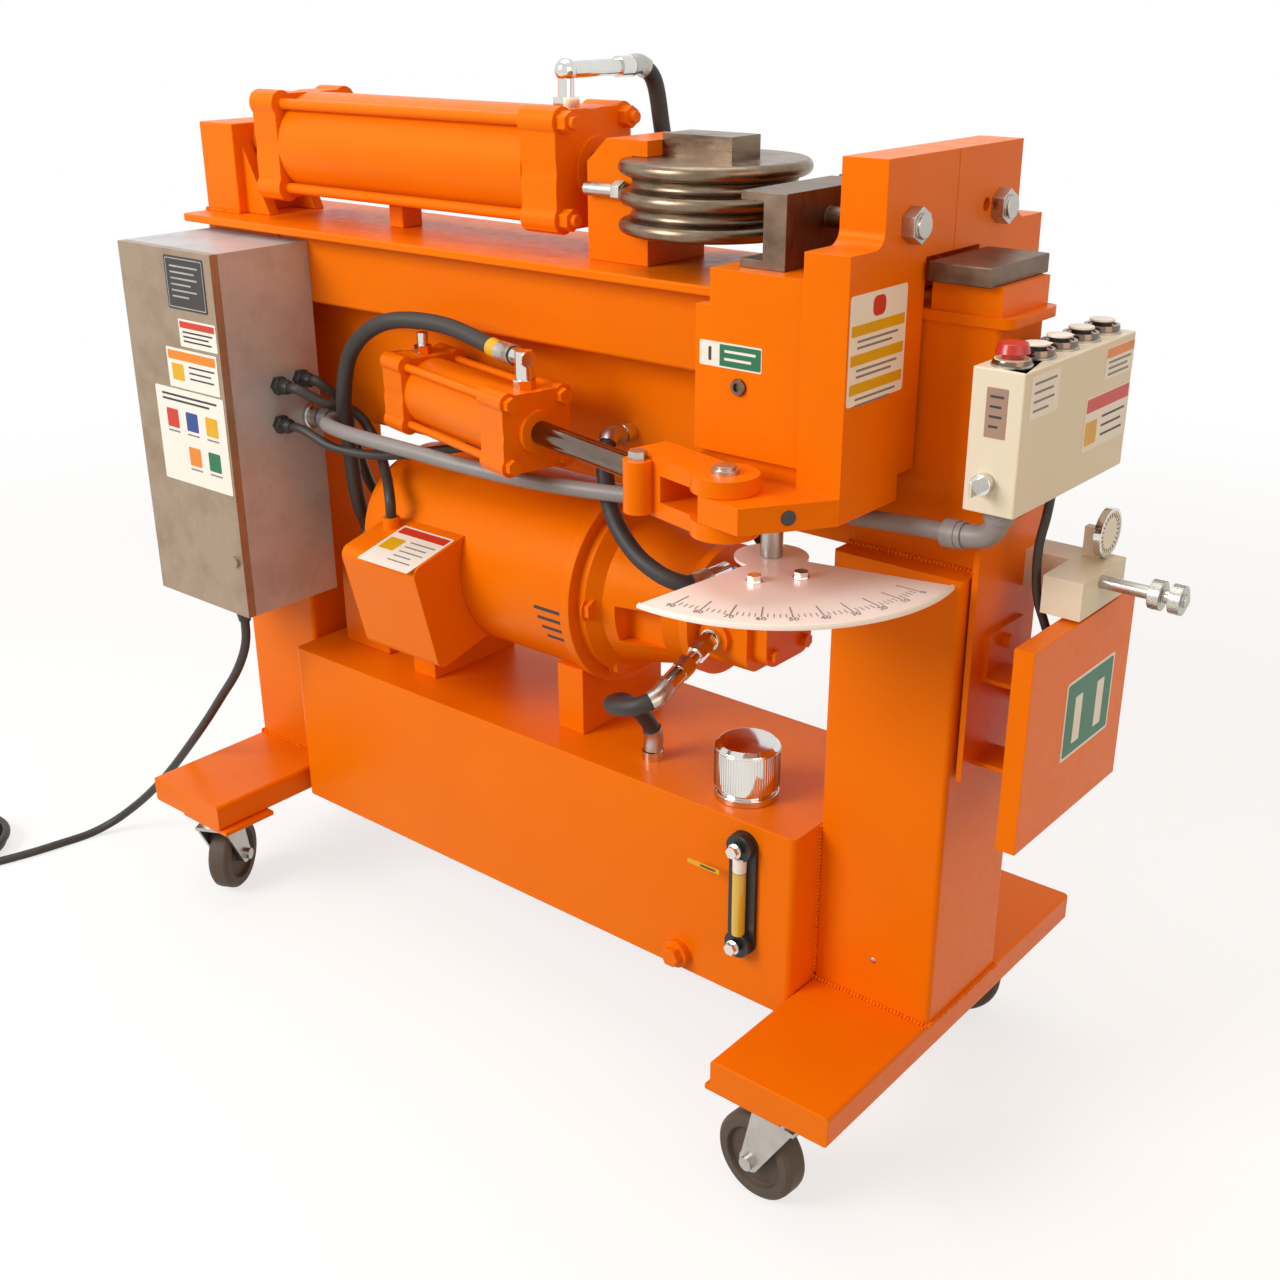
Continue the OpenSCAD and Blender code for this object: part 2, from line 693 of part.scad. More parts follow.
// Steel back shoe, a channel open to the die, and the bolt that adjusts it
module back_shoe() color("dimgray") {
    web_x = pivot_x + shoe_back - shoe_web;
    bar_y(-shoe_end - shoe_len, -shoe_end) {
        translate([web_x, block_top]) square([shoe_web, shoe_h]);
        translate([pivot_x - shoe_tip, block_top]) square([shoe_tip + shoe_back, shoe_lip]);
        translate([pivot_x - shoe_tip, block_top + shoe_h - shoe_lip]) square([shoe_tip + shoe_back, shoe_lip]);
    }
    rod_x(pivot_x + shoe_back, slab_x + slab_t, -bolt_y, bolt_z, bolt_d / 2);
    hex_x(slab_x + slab_t, slab_x + slab_t + 16, -bolt_y, bolt_z, bolt_d + 12);
    rod_x(slab_x + slab_t + 16, slab_x + slab_t + 20, -bolt_y, bolt_z, bolt_d / 2 + 2);
}

module gate_front_shoe() back_shoe();
module gate_rear_shoe() rear_side() back_shoe();

// A gate cylinder lies along its own X from the tail pin

module along_link(j) {
    translate([tail_pin[0], -j * tail_pin[1], arm_mid]) rotate([0, 0, -j * link_yaw]) children();
}

module gate_barrel(j) color("darkorange") along_link(j) {
    tie = gate_head / 2 - 15;
    barrel_from = tail_rear + rear_head_t;
    barrel_to = front_head_end - front_head_t;
    difference() {
        union() {
            translate([0, 0, -lug_half]) linear_extrude(2 * lug_half) {
                circle(25);
                translate([0, -25]) square([tail_rear + 1, 50]);
            }
            bar_x(tail_rear, barrel_from) head_outline(gate_head, 14);
        }
        rod_z(-lug_half - 1, lug_half + 1, 0, 0, gate_pin_d / 2 + run);
    }
    difference() {
        rod_x(barrel_from, barrel_to, 0, 0, gate_od / 2);
        rod_x(barrel_from - 1, barrel_to + 1, 0, 0, gate_od / 2 - gate_wall);
    }
    difference() {
        union() {
            bar_x(barrel_to, front_head_end) head_outline(gate_head, 14);
            rod_x(front_head_end, front_head_end + 10, 0, 0, 30);
        }
        rod_x(barrel_to - 1, front_head_end + 11, 0, 0, gate_rod_d / 2 + run);
    }
    for (i = [-1, 1], j = [-1, 1]) {
        rod_x(barrel_from, barrel_to, i * tie, j * tie, 6);
        hex_x(front_head_end, front_head_end + 10, i * tie, j * tie, 19);
    }
    // Port elbow on the front head and nipple on the rear head
    hex_z(gate_head / 2 - 6, gate_head / 2 + 8, elbow_x, 0, 26);
    rod_z(gate_head / 2 + 8, gate_head / 2 + 46, elbow_x, 0, 12);
    rod_x(elbow_x - 22, elbow_x + 12, 0, gate_head / 2 + 36, 11);
    hex_z(gate_head / 2 - 6, gate_head / 2 + 8, tail_rear + 28, 0, 22);
    rod_z(gate_head / 2 + 8, gate_head / 2 + 26, tail_rear + 28, 0, 8);
}

module gate_front_cylinder() gate_barrel(-1);
module gate_rear_cylinder() gate_barrel(1);

// Piston, rod and clevis; the clevis plates pass over and under the arm
module gate_ram(j) color("silver") along_link(j) {
    jaw_x = link_len - jaw_reach;
    jaw_top = arm_t / 2 + slide + jaw_plate;
    rod_x(piston_x, piston_x + piston_t, 0, 0, gate_od / 2 - gate_wall - run);
    rod_x(piston_x + piston_t, jaw_x - jaw_len + 20, 0, 0, gate_rod_d / 2);
    difference() {
        span([jaw_x - jaw_len, jaw_x], [-jaw_half, jaw_half], [-jaw_top, jaw_top]);
        rod_x(jaw_x - jaw_len - 1, jaw_x - jaw_len + 20, 0, 0, gate_rod_d / 2);
    }
    rod_z(-jaw_top + 4, jaw_top - 4, jaw_x - jaw_len / 2, j * (jaw_half + 10), 18);
    hex_z(jaw_top - 4, jaw_top + 6, jaw_x - jaw_len / 2, j * (jaw_half + 10), 20);
    for (k = [-1, 1]) translate([0, 0, k > 0 ? arm_t / 2 + slide : -jaw_top]) linear_extrude(jaw_plate) {
        translate([jaw_x - 1, -jaw_half]) square([jaw_reach + 1, 2 * jaw_half]);
        translate([link_len, 0]) circle(jaw_end_r);
    }
    rod_z(jaw_top, jaw_top + 5, link_len, 0, gate_pin_d / 2 + 4);
    rod_z(jaw_top + 5, jaw_top + 9, link_len, 0, gate_pin_d / 2);
}

module gate_front_rod() gate_ram(-1);
module gate_rear_rod() gate_ram(1);

// Tank

// Welded shell with a filler neck, and the drain plug in its boss
module oil_tank() color("darkorange") {
    tank_x0 = left_in + 19.5;
    neck_r = 24;
    difference() {
        union() {
            translate([0, 0, tank_z]) linear_extrude(tank_h)
                translate([(tank_x0 + column_in) / 2, 0]) round_rect(column_in - tank_x0, tank_w, 10);
            rod_z(tank_top, tank_top + 16, filler_x(), filler_y(), neck_r + 4);
            rod_y(-tank_w / 2 - 12, -tank_w / 2 + 1, pivot_x - 140, tank_z + 27, 21);
        }
        span([tank_x0 + tank_wall, column_in - tank_wall], [tank_wall - tank_w / 2, tank_w / 2 - tank_wall],
            [tank_z + tank_wall, tank_top - tank_wall]);
        rod_z(tank_top - tank_wall - 1, tank_top + 17, filler_x(), filler_y(), neck_r);
    }
    translate([pivot_x - 140, -tank_w / 2 - 12, tank_z + 27]) rotate([90, 0, 0])
        cylinder(h = 12, r = 15, $fn = 6);
}

function filler_x() = pivot_x - 75;
function filler_y() = -tank_w / 2 + 66;

// Breather: a knurled cap over the filler neck
module breather_cap() color("silver") translate([filler_x(), filler_y(), tank_top + slide]) {
    neck = 28 + slide;
    difference() {
        union() {
            cylinder(h = 10, r = breather_d / 2);
            translate([0, 0, 10]) cylinder(h = 6, r = breather_d / 2 - 5);
            translate([0, 0, 16]) cylinder(h = breather_h - 22, r = breather_d / 2);
            translate([0, 0, breather_h - 6]) cylinder(h = 6, r1 = breather_d / 2, r2 = breather_d / 2 - 6);
        }
        translate([0, 0, -1]) cylinder(h = 20, r = neck);
    }
}

module sight_gauge() color("black") {
    gauge_x = pivot_x - 28;
    gauge_z = tank_z + 170;
    front = -tank_w / 2;
    for (k = [-1, 1]) {
        rod_y(front - 16, front, gauge_x, gauge_z + k * 76, 20);
        rod_y(front - 24, front - 16, gauge_x, gauge_z + k * 76, 9);
    }
    bar_y(front - 6, front) translate([gauge_x, gauge_z]) round_rect(44, 192, 21);
    rod_z(gauge_z - 60, gauge_z + 60, gauge_x, front - 12, 9);
}

// Power unit

module motor_housing() color("darkorange") {
    body_r = motor_d / 2;
    translate([motor_start, 0, motor_z]) rotate([0, 90, 0]) rotate_extrude($fn = 96) polygon([[stator_r, 12],
        [body_r - 26, 12], [body_r - 8, 30], [body_r - 8, 60], [body_r, 64], [body_r, motor_len],
        [body_r + 8, motor_len], [body_r + 8, motor_len + ring_t], [shaft_d / 2 + run, motor_len + ring_t],
        [shaft_d / 2 + run, motor_len - 8], [stator_r, motor_len - 8]]);
    translate([motor_start, 0, motor_z]) rotate([0, 90, 0]) difference() {
        cylinder(h = 12, r = body_r - 26);
        translate([0, 0, -1]) cylinder(h = 14, r = shaft_d / 2 + run);
    }
    for (x = [motor_start + 70, motor_end - 60]) difference() {
        span([x, x + 50], [-92, 92], [tank_top, motor_z - body_r + 24]);
        rod_x(x - 1, x + 51, 0, motor_z, body_r - 1);
    }
}

module motor_rotor() color("silver") {
    rod_x(motor_start, motor_end + ring_t + 60, 0, motor_z, shaft_d / 2);
    rod_x(motor_start + 70, motor_end - 30, 0, motor_z, rotor_r);
    rod_x(motor_start + 24, motor_start + 40, 0, motor_z, rotor_r - 20);
}

// Conduit box on the motor's side, tilted down, with rounded edges
module motor_terminal_box() color("darkorange") {
    box_w = 160;
    difference() {
        translate([motor_start + 245, -156, motor_z - 38]) rotate([14, 0, 0])
            bar_x(-box_w, 0) round_rect(122, 176, 16);
        rod_x(motor_start - 1, motor_end, 0, motor_z, motor_d / 2 + slide);
    }
    rod_z(motor_z + 46, gland_top, -226, -156, 13);
}

// Bell housing between motor and pump, and the pump with its end cover
module hydraulic_pump() color("darkorange") {
    bell_x = motor_end + ring_t;
    difference() {
        translate([bell_x, 0, motor_z]) rotate([0, 90, 0]) rotate_extrude($fn = 64) polygon([[40, 0], [132, 0],
            [132, 14], [112, 30], [86, bell_len - 24], [86, bell_len - 14], [94, bell_len - 14], [94, bell_len],
            [40, bell_len]]);
        for (j = [-1, 1]) translate([bell_x + 84, j * 104, motor_z - 20]) cube([70, 60, 56], center = true);
    }
    bar_x(pump_x, pump_x + pump_len - 24) translate([0, motor_z]) round_rect(132, 116, 26);
    bar_x(pump_x + pump_len - 24, pump_x + pump_len) translate([0, motor_z]) round_rect(108, 96, 24);
    for (i = [-1, 1], j = [-1, 1]) hex_x(pump_x + pump_len, pump_x + pump_len + 8, i * 36, motor_z + j * 30, 18);
    for (y = [-74, 65]) rod_y(y, y + 9, pump_x + 30, motor_z - 12, 24);
    rod_z(motor_z + 57, motor_z + 62, pump_x + 24, -40, 18);
}

module valve_manifold() color("darkorange") {
    span([manifold_x - 58, manifold_x + 50], [-72, 92], [tank_top, manifold_top]);
    span([manifold_x - 44, manifold_x + 12], [-30, 30], [manifold_top, manifold_top + 40]);
}

// Chrome pipework: ram port, pump outlet and hose ends
module pipe_fittings() color("silver") {
    hex_z(ram_port[2] + 0.2, ram_port[2] + 14, ram_port[0], ram_port[1], 32);
    rod_z(ram_port[2] + 14, ram_pipe_z, ram_port[0], ram_port[1], 11);
    translate([ram_port[0], ram_port[1], ram_pipe_z]) sphere(r = 15);
    rod_y(ram_port[1], ram_hose_y, ram_port[0], ram_pipe_z, 11);
    rod_y(ram_hose_y - 12, ram_hose_y + 14, ram_port[0], ram_pipe_z, 14);
    pump_out = [pump_x + 30, -74, motor_z - 12];
    rod_y(pump_out[1] - 8, pump_out[1], pump_out[0], pump_out[2], 15);
    translate(pump_out - [0, 7, 0]) rotate([111, 0, 0]) {
        cylinder(h = 34, r = 14, $fn = 6);
        translate([0, 0, 34]) cylinder(h = 30, r = 10);
        translate([0, 0, 50]) cylinder(h = 22, r = 15, $fn = 6);
        translate([0, 0, 72]) cylinder(h = 28, r = 13);
    }
    rod_y(74, 104, pump_x + 30, motor_z - 12, 14);
    hex_z(motor_z + 62, drop_z + 2, drop_x, -40, 30);
    rod_y(-80, -40, drop_x, drop_z, 12);
    rod_y(-web_w / 2 - 20, -web_w / 2, 150, 930, 15);
    hex_z(manifold_top, manifold_top + 30, manifold_x, -52, 26);
    rod_z(tank_top, tank_top + 14, pump_x - 68, -84, 16);
}

module hydraulic_hoses() color("dimgray") {
    r = hose_d / 2;
    hose(arch_route, r);
    rear_side() hose(rear_route, r);
    hose(drop_route, r);
    hose(suction_route, r);
    hose(ram_route, r);
}

// Electrics

hinge_x = cabinet_x - cabinet_w - 6.5;
hinge_y = cabinet_front - slide / 2;
hinge_z = [cabinet_z + 10, cabinet_z + cabinet_h - 70];

// A hinge knuckle between two heights, with its leaf on the box side or the door side
module knuckle(z0, z1, side) {
    rod_z(z0, z1, hinge_x, hinge_y, 6);
    span([hinge_x, hinge_x + 8], [side > 0 ? hinge_y + 0.5 : hinge_y - 5.5, side > 0 ? hinge_y + 5.5 : hinge_y - 0.5],
        [z0, z1]);
}

module cabinet_box() color("lightgray") {
    x0 = cabinet_x - cabinet_w;
    for (z = hinge_z, k = [0, 41]) knuckle(z + k, z + k + 19, 1);
    difference() {
        span([x0, cabinet_x], [cabinet_front, cabinet_back], [cabinet_z, cabinet_z + cabinet_h]);
        span([x0 + cabinet_wall, cabinet_x - cabinet_wall], [cabinet_front - 1, cabinet_back - cabinet_wall],
            [cabinet_z + cabinet_wall, cabinet_z + cabinet_h - cabinet_wall]);
    }
}

// Folded door, hinged on its left edge
module cabinet_door() color("lightgray") {
    x0 = cabinet_x - cabinet_w;
    front = cabinet_front - slide - door_t;
    difference() {
        span([x0, cabinet_x], [front, front + door_t], [cabinet_z, cabinet_z + cabinet_h]);
        span([x0 + cabinet_wall, cabinet_x - cabinet_wall], [front + cabinet_wall, front + door_t + 1],
            [cabinet_z + cabinet_wall, cabinet_z + cabinet_h - cabinet_wall]);
    }
    rod_y(front - 5, front, cabinet_x - 18, cabinet_z + 92, 9);
    for (z = hinge_z) knuckle(z + 20, z + 40, -1);
}

// Contactor, overload relay and terminal strip on the cabinet's back wall
module motor_starter() color("black") {
    back = cabinet_back - cabinet_wall;
    mid = cabinet_x - cabinet_w / 2;
    base = cabinet_z + 330;
    span([mid - 48, mid + 48], [back - 86, back], [base, base + 118]);
    span([mid - 48, mid + 48], [back - 74, back], [base - 66, base - 4]);
    span([mid - 90, mid + 90], [back - 36, back], [cabinet_z + 120, cabinet_z + 160]);
}

// Glands in the cabinet's side and floor, and the black cables to motor, valve and limit switch
module cabinet_cables() color("black") {
    for (g = gland_spots) {
        hex_x(cabinet_x, cabinet_x + 14, g[0], table_z + g[1], 26);
        rod_x(cabinet_x + 14, cabinet_x + 30, g[0], table_z + g[1], 11);
    }
    rod_x(cabinet_x, cabinet_x + 26, conduit_y, conduit_z, conduit_d / 2 + 5);
    translate(cord_exit - [0, 0, 14]) cylinder(h = 14, r = 17, $fn = 6);
    translate(cord_exit - [0, 0, gland_len]) cylinder(h = gland_len - 14, r1 = cord_r + 2, r2 = 13);
    hose(cable_motor, 8);
    hose(cable_valve, 8);
    hose(cable_limit, 7);
    span([-125, -75], [-web_w / 2 - 26, -web_w / 2], [900, 936]);
}

module control_conduit() color("gray") hose(conduit_route, conduit_d / 2);

module power_cord() color("black")
    tube(smooth(concat(cord_route, [concat(coil_start, [cord_lift])]), 3), cord_r, 10, [0, 0, -1], coil_way);

// One unbroken cord: it spirals in, climbs a layer in half a turn and spirals out again to its tail
function coil_turn(k) = k / coil_ring;
function coil_radius(t) = coil_r0 - coil_step * min(t, coil_turns - t);
function coil_height(t) = cord_lift + coil_layer * min(max((t - coil_in_turns) / 0.5, 0), 1);
function coil_point(t) = let (a = coil_angle - 360 * t)
    [coil_centre[0] + coil_radius(t) * cos(a), coil_centre[1] + coil_radius(t) * sin(a), coil_height(t)];
coil_turns = 2 * coil_in_turns + 0.5;
coil_loops = [for (k = [0:coil_turns * coil_ring]) coil_point(coil_turn(k))];
coil_last = coil_loops[len(coil_loops) - 1];
coil_way = [sin(coil_angle), -cos(coil_angle), 0];
coil_path = concat(coil_loops, [coil_last + 0.5 * coil_tail * coil_way, coil_last + coil_tail * coil_way]);
coil_gap = min([for (i = [0:len(coil_loops) - 1], j = [i + 10:1:len(coil_loops) - 1])
    norm(coil_loops[i] - coil_loops[j])]) - cord_d;

module cord_coil() color("black") {
    echo(least_gap_between_turns = coil_gap);
    tube(coil_path, cord_r, 6, coil_way, coil_way);
}

// Round plug with three blades, lying on the floor at the coil's end
module cord_plug() color("black") {
    translate(coil_path[len(coil_path) - 1]) rotate([0, 0, atan2(coil_way[1], coil_way[0])]) rotate([0, 90, 0]) {
        cylinder(h = 26, r1 = cord_r + 2, r2 = 14);
        translate([0, 0, 26]) cylinder(h = 34, r = 20);
        for (a = [0:120:240]) rotate(a) translate([10, 0, 60]) translate([-1, -4, 0]) cube([2, 8, 18]);
    }
}

// Controls

module control_box() color("beige") difference() {
    union() {
        translate([button_x, 0, panel_z]) linear_extrude(panel_h) round_rect(panel_d, panel_w, 3);
        span([column_out, panel_x + 1], [-70, 70], [panel_z + 20, panel_top - 20]);
        for (k = [-2:2]) rod_z(panel_top, panel_top + bezel_h, button_x, k * button_pitch, 20);
    }
    for (k = [-2:2]) rod_z(panel_top - 30, panel_top + bezel_h + 1, button_x, k * button_pitch, stem_r + run);
    rod_y(-panel_w / 2 - 1, 30 - panel_w / 2, key_x(), key_z(), 9 + run);
}

function key_x() = panel_x + 26;
function key_z() = panel_z + 35;

module push_button(k, colour, mushroom) color(colour) {
    top = panel_top + bezel_h + button_travel;
    rod_z(panel_top - 22, top, button_x, k * button_pitch, stem_r);
    if (mushroom) translate([button_x, k * button_pitch, top]) cylinder(h = 12, r1 = 19, r2 = 16);
}

module stop_button() push_button(-2, "red", true);
module start_button() push_button(-1, "black", false);
module forward_button() push_button(0, "black", false);
module return_button() push_button(1, "black", false);
module gate_button() push_button(2, "black", false);

module key_switch() color("silver") {
    face = -panel_w / 2;
    rod_y(face - 9, face + 24, key_x(), key_z(), 9);
    rod_y(face - 12, face - 0.5, key_x(), key_z(), 12);
    span([key_x() - 1.2, key_x() + 1.2], [face - 34, face - 10], [key_z() - 9, key_z() + 9]);
}

// Folded guard on a channel, carried by a plate on the column
module guard_panel() color("darkorange") {
    plate_x = column_out + 12;
    difference() {
        span([guard_x - guard_edge, guard_x], [-guard_w / 2, guard_w / 2], [guard_z, guard_z + guard_h]);
        span([guard_x - guard_edge - 1, guard_x - guard_sheet], [guard_sheet - guard_w / 2, guard_w / 2 - guard_sheet],
            [guard_z + guard_sheet, guard_z + guard_h - guard_sheet]);
    }
    span([column_out + 4, plate_x], [-80, 80], [guard_z + 38, guard_z + 358]);
    for (z = [guard_z + 60, guard_z + 300]) span([column_out, column_out + 5], [-50, 50], [z, z + 30]);
    for (z = [guard_z + 50, guard_z + 164]) span([plate_x - 1, guard_x - guard_sheet + 1], [-48, 10], [z, z + 6]);
    span([plate_x - 1, plate_x + 6], [-48, 40], [guard_z + 164, guard_z + 226]);
    hex_x(plate_x + 6, plate_x + 14, -4, guard_z + 206, 17);
    rod_x(plate_x - 1, lever_x - 13, lever_y, lever_z, lever_pin);
}

// Depth stop: cast block, pointer arm and dial on the bracket plate
module depth_block() color("beige") difference() {
    top = depth_z + depth_h;
    union() {
        span([depth_x, depth_x + depth_l], [-28, 90], [depth_z, top]);
        span([column_out + 12, depth_x + 1], [depth_y + 10, 90], [depth_z, top]);
        span([depth_x + 4, depth_x + 27], [depth_y + 36, depth_y + 48], [top - 1, top + 36]);
        rod_x(depth_x + 26, depth_x + 33, depth_y + 42, top + 32, 30);
    }
    rod_x(depth_x + 10, depth_x + depth_l + 1, knob_y, knob_z, 8 + run);
}

// Adjusting screw with two knurled discs
module depth_knob() color("silver") {
    rod_x(depth_x + 14, knob_end, knob_y, knob_z, 8);
    rod_x(knob_end - 42, knob_end - 28, knob_y, knob_z, 17);
    rod_x(knob_end - 18, knob_end - 4, knob_y, knob_z, 17);
}

// Hand lever of the selector valve, with a ball knob
module valve_lever() color("black") {
    difference() {
        rod_x(column_out + 13, lever_x + 12, lever_y, lever_z, 15);
        rod_x(column_out + 12, lever_x - 12, lever_y, lever_z, lever_pin + run);
    }
    rod_y(lever_y + 14, lever_y + 88, lever_x, lever_z, 5);
    translate([lever_x, lever_y + 99, lever_z]) sphere(r = 17);
}

// Casters

module swivel(i, j, turn) {
    translate([i * swivel_x, j * swivel_y, 0]) rotate([0, 0, turn]) children();
}

module caster_fork() color("silver") {
    axle_z = wheel_d / 2;
    crown = caster_h - plate_t - 22;
    half = wheel_w / 2 + 4;
    leg = 4;
    rod_z(crown, caster_h - plate_t - slide, 0, 0, 32);
    rod_z(caster_h - plate_t - slide - 1, caster_h - 1, 0, 0, kingpin_r);
    span([-34, 34], [-half - leg, half + leg], [crown - 6, crown]);
    for (j = [-1, 1]) bar_y(j > 0 ? half : -half - leg, j > 0 ? half + leg : -half) {
        polygon([[-34, crown], [34, crown], [caster_trail + 15, axle_z], [caster_trail - 15, axle_z - 6]]);
        translate([caster_trail, axle_z]) circle(16);
    }
    rod_y(-half - leg - 6, half + leg + 6, caster_trail, axle_z, axle_r);
    for (j = [-1, 1]) rod_y(j > 0 ? half + leg : -half - leg - 8, j > 0 ? half + leg + 8 : -half - leg,
        caster_trail, axle_z, 10);
}

module caster_wheel() color("saddlebrown") {
    r = wheel_d / 2;
    h = wheel_w / 2;
    translate([caster_trail, 0, r]) rotate([90, 0, 0]) rotate_extrude($fn = 96) polygon([[axle_r + run, -h - 2],
        [16, -h - 2], [16, -h + 8], [r - 22, -h + 8], [r - 18, -h], [r - 6, -h], [r - 1, 5 - h], [r, 10 - h],
        [r, h - 10], [r - 1, h - 5], [r - 6, h], [r - 18, h], [r - 22, h - 8], [16, h - 8], [16, h + 2],
        [axle_r + run, h + 2]]);
}

module caster_fork_front_right() swivel(1, -1, caster_turn[0]) caster_fork();
module caster_fork_front_left() swivel(-1, -1, caster_turn[1]) caster_fork();
module caster_fork_rear_right() swivel(1, 1, caster_turn[2]) caster_fork();
module caster_fork_rear_left() swivel(-1, 1, caster_turn[3]) caster_fork();
module caster_wheel_front_right() swivel(1, -1, caster_turn[0]) caster_wheel();
module caster_wheel_front_left() swivel(-1, -1, caster_turn[1]) caster_wheel();
module caster_wheel_rear_right() swivel(1, 1, caster_turn[2]) caster_wheel();
module caster_wheel_rear_left() swivel(-1, 1, caster_turn[3]) caster_wheel();

place() base_feet();
place() oil_tank();
place() sight_gauge();
place() column_left();
place() column_right();
place() main_beam();
place() table_plate();
place() head_lugs();
place() nose_plate();
place() pivot_pins();
place() ram_bracket();
place() ram_heads();
place() ram_barrel();
place() pipe_fittings();
place() motor_housing();
place() motor_terminal_box();
place() hydraulic_pump();
place() valve_manifold();
place() hydraulic_hoses();
place() control_conduit();
place() cabinet_cables();
place() cabinet_box();
place() motor_starter();
place() control_box();
place() guard_panel();
place() depth_block();
place() protractor();
place() power_cord();
place() cord_coil();
place() cord_plug();
place() cabinet_door();
place() breather_cap();
place() ram_rod();
place() die_holder();
place() radius_die();
place() gate_front();
place() gate_rear();
place() gate_front_shoe();
place() gate_rear_shoe();
place() gate_front_cylinder();
place() gate_rear_cylinder();
place() gate_front_rod();
place() gate_rear_rod();
place() caster_fork_front_right();
place() caster_fork_front_left();
place() caster_fork_rear_right();
place() caster_fork_rear_left();
place() caster_wheel_front_right();
place() caster_wheel_front_left();
place() caster_wheel_rear_right();
place() caster_wheel_rear_left();
place() stop_button();
place() start_button();
place() forward_button();
place() return_button();
place() gate_button();
place() key_switch();
place() valve_lever();
place() depth_knob();
place() motor_rotor();
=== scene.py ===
# %% [markdown]
# # A hydraulic pipe bender on casters
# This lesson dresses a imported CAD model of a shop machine: a ram pushes a round die between two swinging
# gates, and a motor on an oil tank drives it. The solids come from the CAD part and stay where they are.
# Each step says what the real piece is, how it could be made in Blender, and why this way was chosen.

# %% Frame
import json
import math

import bmesh
import bpy
from mathutils import Euler, Matrix, Vector


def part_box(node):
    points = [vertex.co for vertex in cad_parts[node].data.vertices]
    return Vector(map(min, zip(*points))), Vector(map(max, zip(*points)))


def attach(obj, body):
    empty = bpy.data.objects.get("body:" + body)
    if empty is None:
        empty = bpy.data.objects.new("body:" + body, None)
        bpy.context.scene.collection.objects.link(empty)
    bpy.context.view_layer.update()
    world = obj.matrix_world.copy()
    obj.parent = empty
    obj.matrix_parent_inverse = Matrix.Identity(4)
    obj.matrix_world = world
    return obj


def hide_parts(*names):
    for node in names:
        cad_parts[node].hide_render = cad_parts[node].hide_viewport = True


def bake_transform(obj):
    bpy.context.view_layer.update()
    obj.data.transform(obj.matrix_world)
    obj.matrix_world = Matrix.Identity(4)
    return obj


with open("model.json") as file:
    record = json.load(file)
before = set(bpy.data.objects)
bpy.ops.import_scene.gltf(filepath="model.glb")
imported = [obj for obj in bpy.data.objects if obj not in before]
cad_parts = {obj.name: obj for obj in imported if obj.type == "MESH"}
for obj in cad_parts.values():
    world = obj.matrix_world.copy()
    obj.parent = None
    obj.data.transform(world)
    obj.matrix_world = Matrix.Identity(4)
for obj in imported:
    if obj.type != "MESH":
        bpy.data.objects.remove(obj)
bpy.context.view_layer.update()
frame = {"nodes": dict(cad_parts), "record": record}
MM = 0.001
SHIFT = 100.5  # the frame's origin lies this far along the machine from the middle between the feet
BODY_OF = {n: b for b, nodes in frame["record"]["behaviour"]["bodies"].items() for n in nodes}
ALONG, ACROSS, UP = (1, 0, 0), (0, 1, 0), (0, 0, 1)


def at(x, y, z):
    """A point of the machine in millimetres, x from the middle between the feet, in metres of the frame."""
    return Vector(((x - SHIFT) * MM, y * MM, z * MM))


def placed(name, data):
    """A new object with this data, linked to the scene."""
    thing = bpy.data.objects.new(name, data)
    bpy.context.scene.collection.objects.link(thing)
    return thing


print("frame:", len(BODY_OF), "nodes")

# %% [markdown]
# ## Camera
# The photograph was taken from the front right, a little above the table. Its angle, height and focal
# length were worked out from the machine's straight edges, so the camera is placed by numbers, not by eye.

# %% Camera
AZIMUTH, ELEVATION, ROLL = (math.radians(v) for v in (39.828, 22.966, -0.3))
CAMERA_SPOT = at(1494, -1631.2, 1500)
SENSOR, FOCAL = 36, 43.56  # millimetres
right = Vector((math.cos(AZIMUTH), math.sin(AZIMUTH), 0))
back = Vector((math.sin(AZIMUTH) * math.cos(ELEVATION), -math.cos(AZIMUTH) * math.cos(ELEVATION),
               math.sin(ELEVATION)))
up = back.cross(right)
across = math.cos(ROLL) * right + math.sin(ROLL) * up
upright = math.cos(ROLL) * up - math.sin(ROLL) * right
lens = bpy.data.cameras.new("camera")
lens.sensor_width = SENSOR
lens.lens = FOCAL
camera = placed("camera", lens)
facing = Matrix((across, upright, back)).transposed().to_4x4()
camera.matrix_world = Matrix.Translation(CAMERA_SPOT) @ facing
bpy.context.scene.camera = camera
print("camera at", tuple(round(v, 3) for v in camera.location))

# %% [markdown]
# ## Small helpers
# Colours are written as the hex values one reads off a paint card, which are sRGB, while shaders work in
# linear light, so one function converts them. Another adds a shader or geometry node with its settings and
# links, and a few short ones wrap the nodes that every material here needs.

# %% Helpers


def paint(code):
    """An sRGB hex colour as linear RGBA."""
    parts = [int(code[i:i + 2], 16) / 255 for i in (1, 3, 5)]
    return tuple(p / 12.92 if p <= 0.04045 else ((p + 0.055) / 1.055) ** 2.4 for p in parts) + (1.0,)


def add(tree, kind, inputs=None, **settings):
    """Adds a node, sets it up and fills its inputs with values or links."""
    node = tree.nodes.new(kind)
    for key, value in settings.items():
        setattr(node, key, value)
    for socket, value in (inputs or {}).items():
        if isinstance(value, bpy.types.NodeSocket):
            tree.links.new(value, node.inputs[socket])
        else:
            node.inputs[socket].default_value = value
    return node


def noise(tree, vector, scale, detail, roughness=0.5):
    inputs = {"Vector": vector, "Scale": scale, "Detail": detail, "Roughness": roughness}
    return add(tree, "ShaderNodeTexNoise", inputs).outputs["Fac"]


